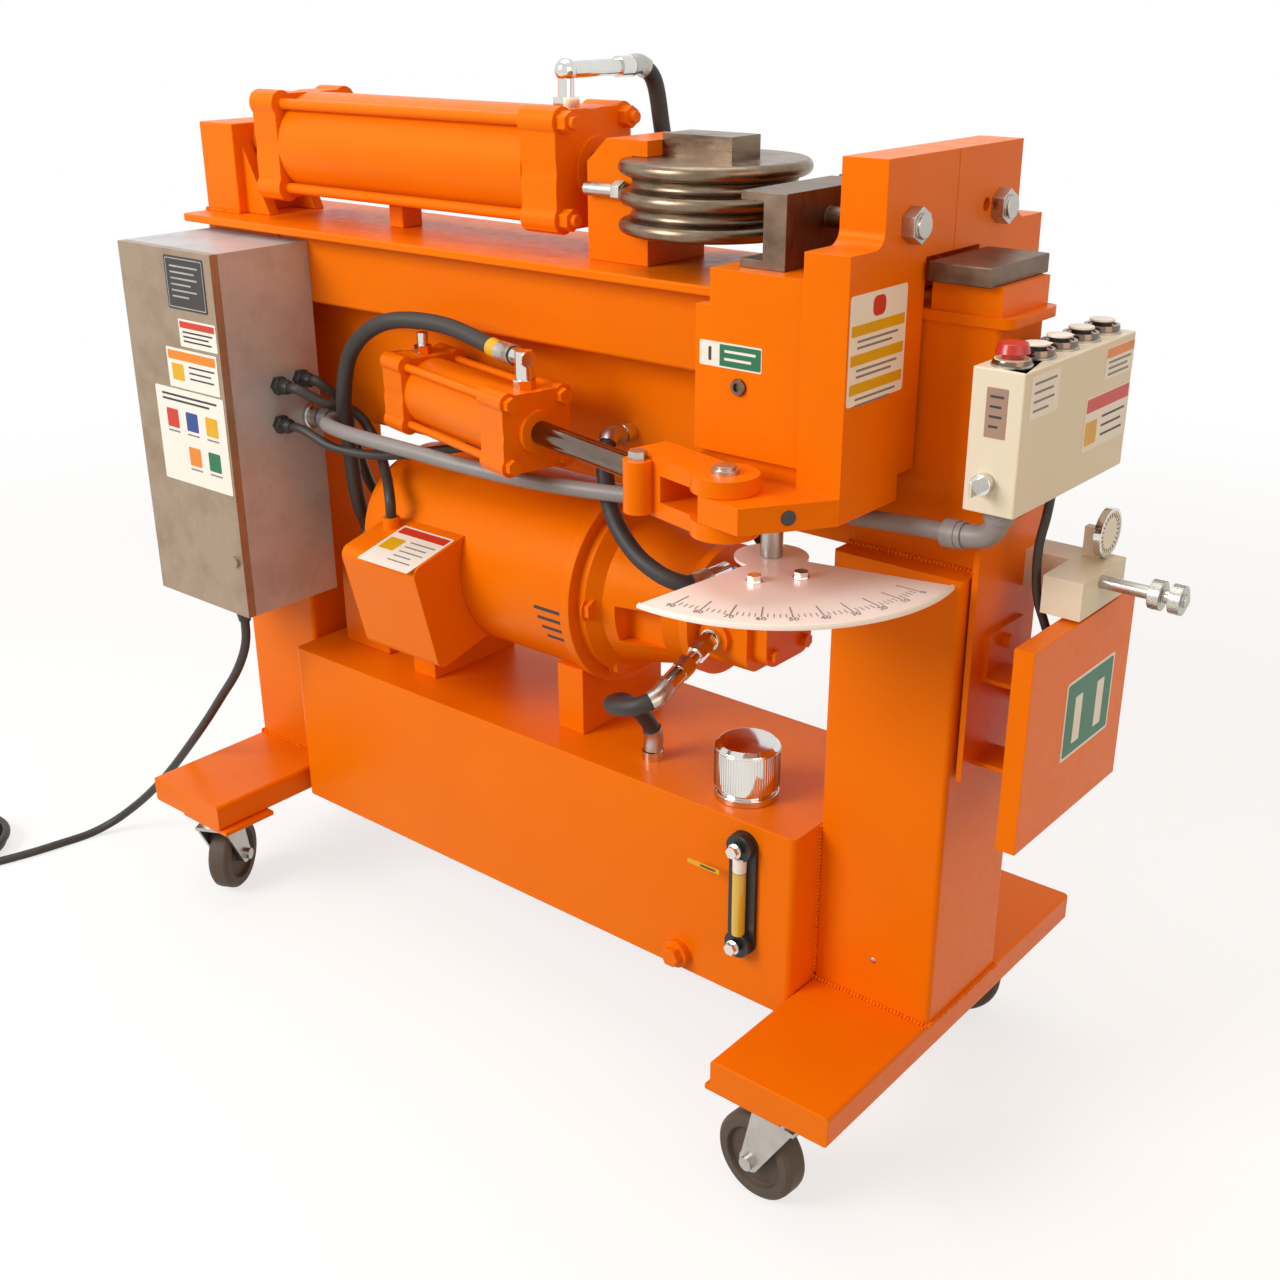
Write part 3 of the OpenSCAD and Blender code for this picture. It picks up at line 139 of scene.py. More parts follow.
def ramp(tree, value, low=0.0, high=1.0, to_low=0.0, to_high=1.0, **settings):
    """A value carried from one range to another."""
    inputs = {"Value": value, "From Min": low, "From Max": high, "To Min": to_low, "To Max": to_high}
    return add(tree, "ShaderNodeMapRange", inputs, **settings).outputs["Result"]


def mixed(tree, share, first, second):
    """Two colours, mixed by a share of the second."""
    return add(tree, "ShaderNodeMix", {0: share, 6: first, 7: second}, data_type="RGBA").outputs[2]


def maths(tree, operation, first, second):
    return add(tree, "ShaderNodeMath", {0: first, 1: second}, operation=operation).outputs[0]


def relief(tree, shader, height, strength, distance):
    """Lets a height bend the shader's normal."""
    bump = add(tree, "ShaderNodeBump", {"Height": height, "Strength": strength, "Distance": distance})
    tree.links.new(bump.outputs["Normal"], shader.inputs["Normal"])


def surface(name, **values):
    """A new material with its Principled shader, and Object coordinates in metres."""
    material = bpy.data.materials.new(name)
    material.use_nodes = True
    tree = material.node_tree
    tree.nodes.clear()
    shader = add(tree, "ShaderNodeBsdfPrincipled", {k.replace("_", " "): v for k, v in values.items()})
    add(tree, "ShaderNodeOutputMaterial", {"Surface": shader.outputs["BSDF"]})
    place = add(tree, "ShaderNodeTexCoord").outputs["Object"]
    return material, tree, shader, place


print("helpers ready")

# %% [markdown]
# ## Safety-orange enamel
# The frame is sprayed with a gloss alkyd enamel. Sprayed enamel has a fine orange-peel ripple, drifts a
# little in colour where the coat is thicker, and gathers shop dust low down. The ripple is drawn about 4 mm
# wide, coarser than the real millimetre or two, so that it shows in the picture.

# %% Enamel
DUST_TOP, DUST_FULL = 0.32, 0.15  # heights in metres between which the dust thickens
PEEL = 0.00012


def enamel(name, bright, deep, rough, glint):
    material, tree, shader, place = surface(name, Specular_IOR_Level=0.3, Specular_Tint=paint(glint))
    mottled = mixed(tree, noise(tree, place, 5.0, 3.0), paint(deep), paint(bright))
    fine = noise(tree, place, 60.0, 4.0, 0.7)
    height = add(tree, "ShaderNodeSeparateXYZ", {"Vector": place}).outputs["Z"]
    low = ramp(tree, height, DUST_TOP, DUST_FULL, 0.0, 0.7)
    dust = maths(tree, "MULTIPLY", ramp(tree, fine, 0.68, 0.86), low)
    tree.links.new(mixed(tree, dust, mottled, paint("#7A4A1E")), shader.inputs["Base Color"])
    sheen = ramp(tree, fine, 0.3, 0.7, rough - 0.05, rough + 0.09)
    tree.links.new(sheen, shader.inputs["Roughness"])
    relief(tree, shader, noise(tree, place, 240.0, 1.0), 0.35, PEEL)
    return material


orange = enamel("orange_enamel", "#EE7702", "#E66B01", 0.34, "#FFB25A")
cream = enamel("cream_enamel", "#E6DFCB", "#DCD4BC", 0.36, "#FFF6E6")
print("paints:", orange.name, cream.name)

# %% [markdown]
# ## Metals
# Turned and milled tool steel carries brown oil stains over grey; stainless sheet is brushed, which reads as
# long fine streaks; zinc plate is duller and cloudy; chrome is a nearly clean mirror. Each is a metal shader
# whose roughness and colour follow noise, stretched along the direction in which the surface was worked.

# %% Metals
BRUSHED = ((60, 60, 1.2), 22.0, 0.00006)  # stretch, scale and bump of long fine streaks


def metal(name, light, dark, rough, spread, stretch=(1, 1, 1), scale=40.0, bump=0.0, stain=None, mirror=1.0):
    material, tree, shader, place = surface(name, Metallic=mirror)
    worked = add(tree, "ShaderNodeMapping", {"Vector": place, "Scale": stretch}).outputs["Vector"]
    grain = noise(tree, worked, scale, 4.0)
    colour = mixed(tree, grain, paint(dark), paint(light))
    if stain:
        patch = ramp(tree, noise(tree, place, 14.0, 5.0, 0.65), 0.45, 0.72, 0.0, 0.75)
        colour = mixed(tree, patch, colour, paint(stain))
    tree.links.new(colour, shader.inputs["Base Color"])
    gloss = ramp(tree, grain, 0.25, 0.75, rough - spread, rough + spread)
    tree.links.new(gloss, shader.inputs["Roughness"])
    if bump:
        relief(tree, shader, grain, 0.3, bump)
    return material


tool_steel = metal("turned_tool_steel", "#9B8874", "#6A5947", 0.32, 0.1, (1, 1, 9), 30.0, 0.0002, "#5B4433")
dark_steel = metal("milled_dark_steel", "#8A7464", "#5E4A3C", 0.4, 0.1, (1, 8, 1), 36.0, 0.0002, "#523A2A")
zinc = metal("zinc_plate", "#C9C6BE", "#A5A199", 0.32, 0.12, (1, 1, 1), 45.0, 0.0001)
chrome = metal("chrome_plate", "#E6E4E0", "#CFCCC6", 0.09, 0.04, (1, 1, 1), 25.0)
# This chrome's dark brown-grey tone is painted reflection: the dark and orange surroundings that a polished
# rod mirrors, laid into its colour.
reflection_darkened_chrome = metal("chrome_with_painted_reflection", "#86766A", "#65574C", 0.15, 0.05, (1, 6, 6), 25.0)
# Two copies of one stainless: the box's is lighter and greyer, painted light for its shaded sides, and the
# door's is darker and browner, painted shade for its lit front.
stainless = metal("brushed_stainless_painted_light", "#C6CBD0", "#B2B7BD", 0.36, 0.08, *BRUSHED, "#A5A6A8", 0.3)
shaded_door_stainless = metal("stainless_painted_shade", "#B09C86", "#97836D", 0.34, 0.08, *BRUSHED, "#8A745C", 0.5)
print("metals ready")

# %% [markdown]
# ## Plastics, rubber and printed card
# Moulded plastics have an even, slightly pebbled skin. Hose rubber is dull and shows the wrap of its cloth;
# tyre rubber is brown with dust. Printed cards are smoother, and the angle scale is milky acrylic.

# %% Plastics


def moulded(name, colour, second, rough, scale=320.0, bump=0.0001, **more):
    material, tree, shader, place = surface(name, **more)
    wear = noise(tree, place, scale * 0.08, 4.0)
    tree.links.new(mixed(tree, wear, paint(colour), paint(second)), shader.inputs["Base Color"])
    gloss = ramp(tree, wear, 0.0, 1.0, rough - 0.07, rough + 0.07)
    tree.links.new(gloss, shader.inputs["Roughness"])
    relief(tree, shader, noise(tree, place, scale, 3.0), 0.4, bump)
    return material


def printed(name, colour, second, rough=0.4):
    return moulded(name, colour, second, rough, 200.0, 0.00002)


black_plastic = moulded("black_nylon", "#1B1A19", "#262423", 0.42)
red_plastic = moulded("red_push_cap", "#B5170F", "#C92618", 0.3, 200.0, 0.00004, Coat_Weight=0.3)
hose_rubber = moulded("hose_rubber", "#231F1D", "#332D29", 0.55, 420.0, 0.0004)
cord_rubber = moulded("cord_rubber", "#26221F", "#3A332D", 0.52, 300.0, 0.0002)
grey_vinyl = moulded("grey_vinyl", "#8F8B89", "#7C7877", 0.45, 260.0, 0.0001)
tyre_rubber = moulded("tyre_rubber", "#3B3129", "#5A4A3A", 0.62, 220.0, 0.0003)
yellow_band = moulded("yellow_tape", "#E3B10C", "#CF9C06", 0.4)
acrylic = moulded("milky_acrylic", "#FDF4F0", "#FFF9F6", 0.3, 120.0, 0.00001,
                  Transmission_Weight=0.05, IOR=1.49)
oil = moulded("amber_oil", "#DDBC40", "#CBA82E", 0.15, 60.0, 0.00001, Coat_Weight=0.5)
white_card = printed("white_card", "#EFEDE6", "#E6E2D8", 0.42)
ink = printed("dark_ink", "#2A2828", "#363232", 0.5)
grey_ink = printed("grey_ink", "#8B8380", "#7A726F", 0.5)
green_field = printed("green_field", "#14724C", "#0F6643")
blue_field = printed("blue_field", "#24468F", "#1F3D80")
red_field = printed("red_field", "#CE3A20", "#BF3019")
amber_field = printed("amber_field", "#E58A1C", "#D67C12")
bronze_field = printed("bronze_field", "#A98B7B", "#9B7D6D")
print("plastics ready")

# %% [markdown]
# ## Shapes that follow a path
# Cords, hoses and cables are all a round section drawn along a smooth path, so one geometry node tree makes
# them all: it turns a polyline into a curve and sweeps a circle along it. A second tree sets small blocks
# along a path, for knurls and ticks, a third sets weld beads, and a fourth sets hexagon bolts on points.
# Each result ends as a plain mesh.

# %% Path tools
SHARP_ANGLE = math.radians(32)


def bake(obj):
    """Turns an object with modifiers into a plain mesh object of the same name."""
    graph = bpy.context.evaluated_depsgraph_get()
    mesh = bpy.data.meshes.new_from_object(obj.evaluated_get(graph))
    name = obj.name
    bpy.data.objects.remove(obj)
    mesh.name = name
    return placed(name, mesh)


def finish_mesh(mesh):
    """Smooth shading, with sharp edges where faces meet at an angle."""
    for polygon in mesh.polygons:
        polygon.use_smooth = True
    mesh.set_sharp_from_angle(angle=SHARP_ANGLE)


def settle(piece, body, slot, *nodes):
    """The piece rides on a body and stands for the named CAD nodes, which it hides; slot is not used."""
    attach(piece, body)
    if nodes:
        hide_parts(*nodes)
    return piece


def new_tree(name, **inputs):
    """An empty geometry node tree with geometry in and out, the named inputs and a material."""
    group = bpy.data.node_groups.new(name, "GeometryNodeTree")
    group.interface.new_socket("Geometry", in_out="INPUT", socket_type="NodeSocketGeometry")
    for label, kind in {**inputs, "Material": "Material"}.items():
        group.interface.new_socket(label, in_out="INPUT", socket_type="NodeSocket" + kind)
    group.interface.new_socket("Geometry", in_out="OUTPUT", socket_type="NodeSocketGeometry")
    return group, group.nodes.new("NodeGroupInput").outputs


def close_tree(group, geometry, material):
    """Every tree ends in Realize Instances and Set Material."""
    real = add(group, "GeometryNodeRealizeInstances", {"Geometry": geometry})
    coloured = add(group, "GeometryNodeSetMaterial", {"Geometry": real.outputs[0], "Material": material})
    add(group, "NodeGroupOutput", {0: coloured.outputs[0]})


def spots_along(group, inlet):
    """Evenly spaced points on the path, with their rotation."""
    path = add(group, "GeometryNodeMeshToCurve", {"Mesh": inlet["Geometry"]})
    spots = add(group, "GeometryNodeCurveToPoints", {"Curve": path.outputs[0], "Count": inlet["Count"]})
    return {"Points": spots.outputs["Points"], "Rotation": spots.outputs["Rotation"]}


def copies(group, shape, spots):
    return add(group, "GeometryNodeInstanceOnPoints", {"Instance": shape, **spots}).outputs[0]


def grown(name, points, group, closed=False, **values):
    """Runs a tree on a polyline, or on loose points where closed is None, and keeps a plain mesh."""
    mesh = bpy.data.meshes.new(name)
    count = len(points)
    links = count if closed else count - 1
    edges = [] if closed is None else [(i, (i + 1) % count) for i in range(links)]
    mesh.from_pydata([tuple(p) for p in points], edges, [])
    piece = placed(name, mesh)
    modifier = piece.modifiers.new("nodes", "NODES")
    modifier.node_group = group
    for item in group.interface.items_tree:
        if item.in_out == "INPUT" and item.name in values:
            modifier[item.identifier] = values[item.name]
    piece = bake(piece)
    finish_mesh(piece.data)
    return piece


sweep, inlet = new_tree("sweep a round section", Radius="Float", Sides="Int")
section = add(sweep, "GeometryNodeCurvePrimitiveCircle",
              {"Resolution": inlet["Sides"], "Radius": inlet["Radius"]})
path = add(sweep, "GeometryNodeMeshToCurve", {"Mesh": inlet["Geometry"]})
tube = add(sweep, "GeometryNodeCurveToMesh",
           {"Curve": path.outputs[0], "Profile Curve": section.outputs[0], "Fill Caps": True})
close_tree(sweep, tube.outputs[0], inlet["Material"])

row, inlet = new_tree("blocks along a path", Count="Int", Size="Vector")
block = add(row, "GeometryNodeMeshCube", {"Size": inlet["Size"]})
close_tree(row, copies(row, block.outputs[0], spots_along(row, inlet)), inlet["Material"])

bead, inlet = new_tree("weld bead", Count="Int", Radius="Float", Seed="Int")
drop = add(bead, "GeometryNodeMeshIcoSphere", {"Radius": inlet["Radius"], "Subdivisions": 2})
size = add(bead, "FunctionNodeRandomValue",
           {"Min": (0.8, 0.8, 0.5), "Max": (1.2, 1.15, 0.75), "Seed": inlet["Seed"]},
           data_type="FLOAT_VECTOR")
bead_spots = {**spots_along(bead, inlet), "Scale": size.outputs["Value"]}
close_tree(bead, copies(bead, drop.outputs[0], bead_spots), inlet["Material"])

bolts, inlet = new_tree("hexagon bolts", Across="Float", Height="Float", Turn="Rotation")
head = add(bolts, "GeometryNodeMeshCylinder",
           {"Vertices": 6, "Radius": inlet["Across"], "Depth": inlet["Height"]})
raised = add(bolts, "ShaderNodeCombineXYZ", {"Z": maths(bolts, "MULTIPLY", inlet["Height"], 0.62)})
moved = add(bolts, "GeometryNodeTransform",
            {"Geometry": head.outputs["Mesh"], "Translation": raised.outputs[0]})
wide = maths(bolts, "MULTIPLY", inlet["Across"], 1.18)
thin = maths(bolts, "MULTIPLY", inlet["Height"], 0.24)
washer = add(bolts, "GeometryNodeMeshCylinder", {"Vertices": 24, "Radius": wide, "Depth": thin})
both = add(bolts, "GeometryNodeJoinGeometry")
bolts.links.new(moved.outputs[0], both.inputs[0])
bolts.links.new(washer.outputs["Mesh"], both.inputs[0])
bolt_spots = {"Points": inlet["Geometry"], "Rotation": inlet["Turn"]}
close_tree(bolts, copies(bolts, both.outputs[0], bolt_spots), inlet["Material"])


def smooth(points, steps=8):
    """The Catmull-Rom curve through the listed points, as the CAD part draws it."""
    p = [Vector(q) for q in points]
    curve = []
    for i in range(len(p) - 1):
        a, b, c, d = p[max(i - 1, 0)], p[i], p[i + 1], p[min(i + 2, len(p) - 1)]
        for k in range(steps):
            t = k / steps
            curve.append(0.5 * (2 * b + (c - a) * t + (2 * a - 5 * b + 4 * c - d) * t ** 2
                                + (3 * b - a - 3 * c + d) * t ** 3))
    return curve + [p[-1]]


def swept(name, line, radius, sides, material):
    """A round section drawn along a polyline."""
    return grown(name, line, sweep, Radius=radius, Sides=sides, Material=material)


def length_of(line):
    return sum((b - a).length for a, b in zip(line, line[1:]))


print("node trees:", len(bpy.data.node_groups))

# %% [markdown]
# ## Power cord
# A rubber mains cord leaves the gland under the cabinet, hangs down to the floor and runs off to the left.
# The length that the picture doesn't show is wound as for storage: it spirals in, climbs a layer and spirals
# out again. The route repeats the CAD part's points, so the piece lies on its solids.

# %% Power cord
CORD = 15.0
CORD_LIFT = CORD / 2 + 0.3
COIL_START = (-1045, -555)
COIL_TURNS, COIL_ANGLE, COIL_RADIUS = 4.0, -30.0, 6.4 * CORD
COIL_STEPS = 48  # points in each turn
COIL_STEP, COIL_LAYER = CORD + 1, CORD + 0.6
CLIMB_FROM, CLIMB_OVER = 1.75, 0.5  # turns
COIL_TAIL = 80
cord_points = [
    (-520, -232.5, 537), (-522, -233, 505), (-534, -234, 472), (-562, -235, 428), (-606, -236, 376),
    (-660, -236, 314), (-726, -237, 242), (-796, -240, 168), (-862, -246, 104), (-918, -258, 54),
    (-954, -282, 22), (-972, -322, CORD_LIFT), (-982, -376, CORD_LIFT), (-996, -436, CORD_LIFT),
    (-1018, -500, CORD_LIFT), (*COIL_START, CORD_LIFT)]
way = Vector((math.sin(math.radians(COIL_ANGLE)), -math.cos(math.radians(COIL_ANGLE)), 0))
middle = Vector((*COIL_START, 0)) - COIL_RADIUS * Vector((-way.y, way.x, 0))
coil_points = []
for step in range(1, int(COIL_TURNS * COIL_STEPS) + 1):
    turn = step / COIL_STEPS
    radius = COIL_RADIUS - COIL_STEP * min(turn, COIL_TURNS - turn)
    climb = min(max((turn - CLIMB_FROM) / CLIMB_OVER, 0), 1)
    angle = math.radians(COIL_ANGLE - 360 * turn)
    coil_points.append((middle.x + radius * math.cos(angle), middle.y + radius * math.sin(angle),
                        CORD_LIFT + climb * COIL_LAYER))
tail = Vector(coil_points[-1]) + COIL_TAIL * way
cord_path = [at(*p) for p in smooth(cord_points, 6) + coil_points + [tail]]
cord = swept("mains_cord", cord_path, CORD / 2 * MM, 14, cord_rubber)
settle(cord, "frame", "black_rubber", "power_cord", "cord_coil")

# %% [markdown]
# ## Turned and flat shapes
# Plugs, glands, gauges and button rings are turned pieces. Screw modifiers would spin a profile too, but a
# few lines of mesh code give exact radii and clean caps. Plates and labels are thin rounded rectangles,
# several in one mesh.

# %% Turned and flat shapes
SUNK = -0.3  # how far a flat plate reaches into the face that it lies on


def lathe(name, profile, base, axis, material, segments, ring=False):
    """A turned piece: (radius, distance) in millimetres, from base along axis; a ring's profile is closed."""
    if ring:
        profile = list(profile) + [profile[0]]
    spot = Matrix.Translation(base) @ Vector(axis).to_track_quat("Z", "Y").to_matrix().to_4x4()
    verts, faces = [], []
    for radius, along in profile:
        for k in range(segments):
            angle = 2 * math.pi * k / segments
            verts.append(spot @ (Vector((radius * math.cos(angle), radius * math.sin(angle), along)) * MM))
    for i in range(len(profile) - 1):
        for k in range(segments):
            a, b = i * segments + k, i * segments + (k + 1) % segments
            faces.append((a, b, b + segments, a + segments))
    last = (len(profile) - 1) * segments
    if ring:
        faces = [tuple(k % last for k in face) for face in faces]
        verts = verts[:last]
    else:
        faces.append(tuple(reversed(range(segments))))
        faces.append(tuple(last + k for k in range(segments)))
    mesh = bpy.data.meshes.new(name)
    mesh.from_pydata(verts, [], faces)
    mesh.materials.append(material)
    finish_mesh(mesh)
    return placed(name, mesh)


def cards(name, blocks, middle, u, v):
    """Thin plates in one mesh: (u, v, width, height, thickness, corner radius, material) in millimetres."""
    u, v = Vector(u).normalized(), Vector(v).normalized()
    normal = u.cross(v)
    shape = bmesh.new()
    materials = []
    for x, y, width, height, thick, radius, material in blocks:
        if material not in materials:
            materials.append(material)
        rim = []
        for corner in range(4):
            cx = x + (width / 2 - radius) * (1 if corner in (0, 3) else -1)
            cy = y + (height / 2 - radius) * (1 if corner < 2 else -1)
            for k in range(5):
                angle = math.pi / 2 * (corner + k / 4)
                rim.append((cx + radius * math.cos(angle), cy + radius * math.sin(angle)))
        under, over = [[shape.verts.new(middle + (px * u + py * v + lift * normal) * MM) for px, py in rim]
                       for lift in (SUNK, thick)]
        count = len(rim)
        faces = [shape.faces.new([under[k], under[(k + 1) % count], over[(k + 1) % count], over[k]])
                 for k in range(count)]
        faces += [shape.faces.new(over), shape.faces.new(list(reversed(under)))]
        for face in faces:
            face.material_index = materials.index(material)
    mesh = bpy.data.meshes.new(name)
    shape.to_mesh(mesh)
    shape.free()
    for material in materials:
        mesh.materials.append(material)
    return placed(name, mesh)


def between(path, start, end):
    """The part of a polyline between two distances from its start, in millimetres."""
    part, run = [], 0.0
    for a, b in zip(path, path[1:]):
        length = (b - a).length / MM
        for mark in (start, end):
            if run <= mark < run + length:
                part.append(a.lerp(b, (mark - run) / length))
        run += length
        if start < run < end:
            part.append(b)
    return part


print("shape tools ready")

# %% [markdown]
# ## Plug
# The cord ends in a moulded rubber plug with a ribbed grip and three flat blades. The grip is turned in one
# profile, and the blades are thin plates that stand on its face.

# %% Plug
PLUG_LENGTH, BLADE_RING = 60, 9
grip = [(9.5, 0), (10, 4), (9, 6), (11, 9), (10, 12), (12.5, 15), (11.5, 18), (14, 22), (16, 25), (19, 28),
        (20, 32), (20, 55), (19, 59), (18, PLUG_LENGTH)]
plug = lathe("plug_body", grip, at(*tail), way, cord_rubber, 32)
settle(plug, "frame", "black_rubber", "cord_plug")
for k in range(3):
    angle = math.radians(120 * k)
    radial = math.cos(angle) * Vector(UP) + math.sin(angle) * way.cross(Vector(UP))
    foot = at(*(tail + PLUG_LENGTH * way + BLADE_RING * radial))
    blade = cards("plug_blade_%d" % k, [(9, 0, 18, 8, 1.7, 1.2, zinc)], foot, way, radial.cross(way))
    settle(blade, "frame", "zinc_steel")

# %% [markdown]
# ## Hoses
# The hydraulic hoses are wire-braided rubber with a crimped steel sleeve at each end. For the two that feed
# the gate cylinders, the sleeve at the elbow rides on the cylinder and the far sleeve on the frame, while the
# hose itself is left where it lies, on no body. A strip of yellow tape marks the front one, as in the
# picture.

# %% Hoses
HOSE = 24.0
SLEEVE, SLEEVE_WALL = 34, 0.0022
TAPE_START, TAPE_END, TAPE_WALL = 36, 54, 0.0008
elbow = Vector((80.46, -172.58, 1046))
outlet = Vector((0.97234, -0.23357, 0))
arch_top = [elbow - 24 * outlet, elbow - 60 * outlet, (-101, -146, 1063), (-216, -150, 1053),
            (-299, -146, 1001), (-332, -142, 921)]
front_arch = arch_top + [(-352, -122, 846), (-366, -106, 776), (-380, -88, 728), (-396, -64, 694),
                         (-402, -52, 669), (-402, -52, 647.3)]
rear_arch = [Vector((p[0], -p[1], p[2])) for p in arch_top]
rear_arch += [(-356, 136, 846), (-364, 126, 760), (-370, 120, 690), (-372, 116, 600), (-372, 116, 467.2)]
drop_line = [(150, -58.4, 930), (150, -82, 930), (163, -108, 898), (190, -124, 840), (232, -132, 800),
             (274, -134, 780), (306, -126, 770), (319, -106, 766), (319, -80.4, 766)]
suction_line = [(325, -175, 641.8), (325, -200.2, 632.1), (305, -219, 622), (269, -214, 610),
                (239, -186, 596), (225, -142, 578), (223, -104, 544), (227, -84, 510), (227, -84, 481.3)]
ram_line = [(35, 102.2, 1396), (35, 126, 1396), (40, 150, 1374), (46, 160, 1310), (64, 158, 1226),
            (100, 150, 1150), (150, 132, 1080), (172, 112, 1010), (178, 104, 950), (190, 104, 880),
            (226, 112, 810), (268, 126, 748), (306, 140, 698), (325, 130, 678), (325, 104.4, 678)]
hoses = {"arch_hose_front": front_arch, "arch_hose_rear": rear_arch, "drop_hose": drop_line,
         "suction_hose": suction_line, "ram_hose": ram_line}
for name, points in hoses.items():
    line = [at(*p) for p in smooth(points)]
    hose = swept(name, line, HOSE / 2 * MM, 20, hose_rubber)
    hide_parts("hydraulic_hoses")
    length = length_of(line) / MM
    moving = "gate_%s_cylinder" % name.split("_")[-1] if name.startswith("arch") else "frame"
    if moving == "frame":
        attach(hose, "frame")
    else:
        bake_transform(hose)
    for label, start, end, body in (("_sleeve_start", 0, SLEEVE, moving),
                                    ("_sleeve_end", length - SLEEVE, length - 0.1, "frame")):
        sleeve = swept(name + label, between(line, start, end), HOSE / 2 * MM + SLEEVE_WALL, 24, zinc)
        settle(sleeve, body, "zinc_steel")
    if name == "arch_hose_front":
        tape = swept("hose_tape", between(line, TAPE_START, TAPE_END), HOSE / 2 * MM + TAPE_WALL, 24,
                     yellow_band)
        settle(tape, moving, "black_rubber")
    print(name, round(length), "mm")

# %% [markdown]
# ## Conduit and cables
# Grey vinyl conduit carries the control wires from the cabinet to the push-button box. Black cables leave
# the cabinet through nylon glands, whose nuts are turned pieces with six sides.

# %% Conduit and cables
CABINET_SIDE = -450
conduit_points = [
    (-423.8, -113, 870), (-394, -113, 870), (-350, -164, 882), (-262, -190, 887), (-140, -188, 884),
    (-20, -178, 878), (90, -160, 874), (220, -140, 878), (360, -120, 892), (470, -107, 904), (560, -107, 910),
    (650, -108, 916), (706, -111, 919), (736.5, -112, 926), (748.5, -112, 943), (748.5, -112, 959.8)]
conduit_line = [at(*p) for p in smooth(conduit_points)]
far = length_of(conduit_line) / MM
conduit = swept("conduit", conduit_line, 0.011, 20, grey_vinyl)
settle(conduit, "frame", "grey_conduit", "control_conduit")
for label, start, end, radius in (
        ("nut", 0, 16, 0.0165), ("sleeve", 16, 34, 0.0138), ("collar", far - 92, far - 74, 0.0168),
        ("collar_rim", far - 74, far - 66, 0.0158), ("elbow", far - 66, far - 12, 0.0138),
        ("elbow_nut", far - 14, far - 0.2, 0.0175)):
    collar = swept("conduit_" + label, between(conduit_line, start, end), radius, 24, grey_vinyl)
    settle(collar, "frame", "grey_conduit")
cables = {
    "cable_motor": (8, [
        (-419.8, -173, 930), (-400, -173, 930), (-374, -146, 909), (-358, -118, 899), (-344, -100, 880),
        (-308, -104, 846), (-266, -126, 812), (-226, -156, 788), (-226, -156, 758.2)]),
    "cable_valve": (8, [
        (-419.8, -130, 933), (-404, -130, 933), (-384, -100, 896), (-396, -76, 840), (-414, -36, 750),
        (-416, 0, 690), (-416, 0, 657.2)]),
    "cable_limit": (7, [
        (-419.8, -176, 869), (-394, -176, 869), (-330, -168, 850), (-250, -140, 846), (-160, -96, 862),
        (-110, -58, 872), (-100, -51, 886), (-100, -51, 899.7)])}
for name, (radius, points) in cables.items():
    cable = swept(name, [at(*p) for p in smooth(points)], radius * MM, 14, cord_rubber)
    settle(cable, "frame", "black_rubber", "cabinet_cables")
    foot = at(CABINET_SIDE, points[0][1], points[0][2])
    for label, profile, sides in (("_nut", [(15, 0), (15, 10), (13.5, 12)], 6),
                                  ("_dome", [(12, 10), (12, 20), (11, 25), (radius + 1, 30)], 24)):
        settle(lathe(name + label, profile, foot, ALONG, black_plastic, sides), "frame", "black_plastic")
locknut = lathe("conduit_locknut", [(21, 0), (21, 8), (19, 10), (16, 10), (16, 26)],
                at(CABINET_SIDE, -113, 870), ALONG, zinc, 24)
settle(locknut, "frame", "grey_conduit")
gland = at(-520, -232.5, 571)
for label, profile, sides in (("nut", [(17, 0), (17, 13), (15, 14)], 6),
                              ("taper", [(13, 13), (12.4, 20), (10.4, 30), (9.5, 34)], 24)):
    part = lathe("cord_gland_" + label, profile, gland, (0, 0, -1), black_plastic, sides)
    settle(part, "frame", "black_plastic")
switch = cards("limit_switch", [(0, 0, 50, 36, 26, 3, black_plastic)], at(-100, -38, 918), ALONG, UP)
settle(switch, "frame", "black_plastic")
print("conduit", round(far), "mm")

# %% [markdown]
# ## Dressing the solids
# A CAD solid arrives as loose triangles with knife edges. Real plate has edges that were ground or filled by
# paint, and those catch the light. A copy of the solid is merged, its flat faces are joined, and a small
# Bevel breaks the edges, with normals weighted so that the flats stay flat. The copy then stands for the CAD
# node, which is hidden but still does the colliding.

# %% Dressing
BEVEL_ANGLE = math.radians(38)
PORT_LEVEL = 1.0112  # metres, as are the next five; the gate cylinders' ports stand above this
HOLDER_FRONT = -0.0604
SHOE_BACK = 0.5079
CLEVIS_START = 0.6155  # from the cylinder's tail pin
PIN_HEAD = 0.9895
CAP_LOW, CAP_HIGH = 1.1332, 1.1356  # the underside of the stop button's head
CAP_LIFT = 0.0009  # keeps the pressed head clear of its ring


def dressed(node, material, slot, bevel, second=None, second_faces=None):
    """A bevelled copy of a CAD node; second_faces(centre) picks faces that take the second material."""
    shape = bmesh.new()
    shape.from_mesh(frame["nodes"][node].data)
    bmesh.ops.remove_doubles(shape, verts=shape.verts, dist=2e-6)
    bmesh.ops.dissolve_limit(shape, angle_limit=math.radians(1.0), verts=shape.verts, edges=shape.edges)
    mesh = bpy.data.meshes.new(node + "_skin")
    shape.to_mesh(mesh)
    shape.free()
    mesh.materials.clear()
    mesh.materials.append(material)
    finish_mesh(mesh)
    piece = placed(node + "_skin", mesh)
    edge = piece.modifiers.new("edge", "BEVEL")
    edge.width = bevel * MM
    edge.segments = 2
    edge.limit_method = "ANGLE"
    edge.angle_limit = BEVEL_ANGLE
    even = piece.modifiers.new("even", "WEIGHTED_NORMAL")
    even.keep_sharp = True
    piece = bake(piece)
    if second:
        piece.data.materials.append(second)
        for polygon in piece.data.polygons:
            if second_faces(polygon.center):
                polygon.material_index = 1
    return settle(piece, BODY_OF[node], slot, node)


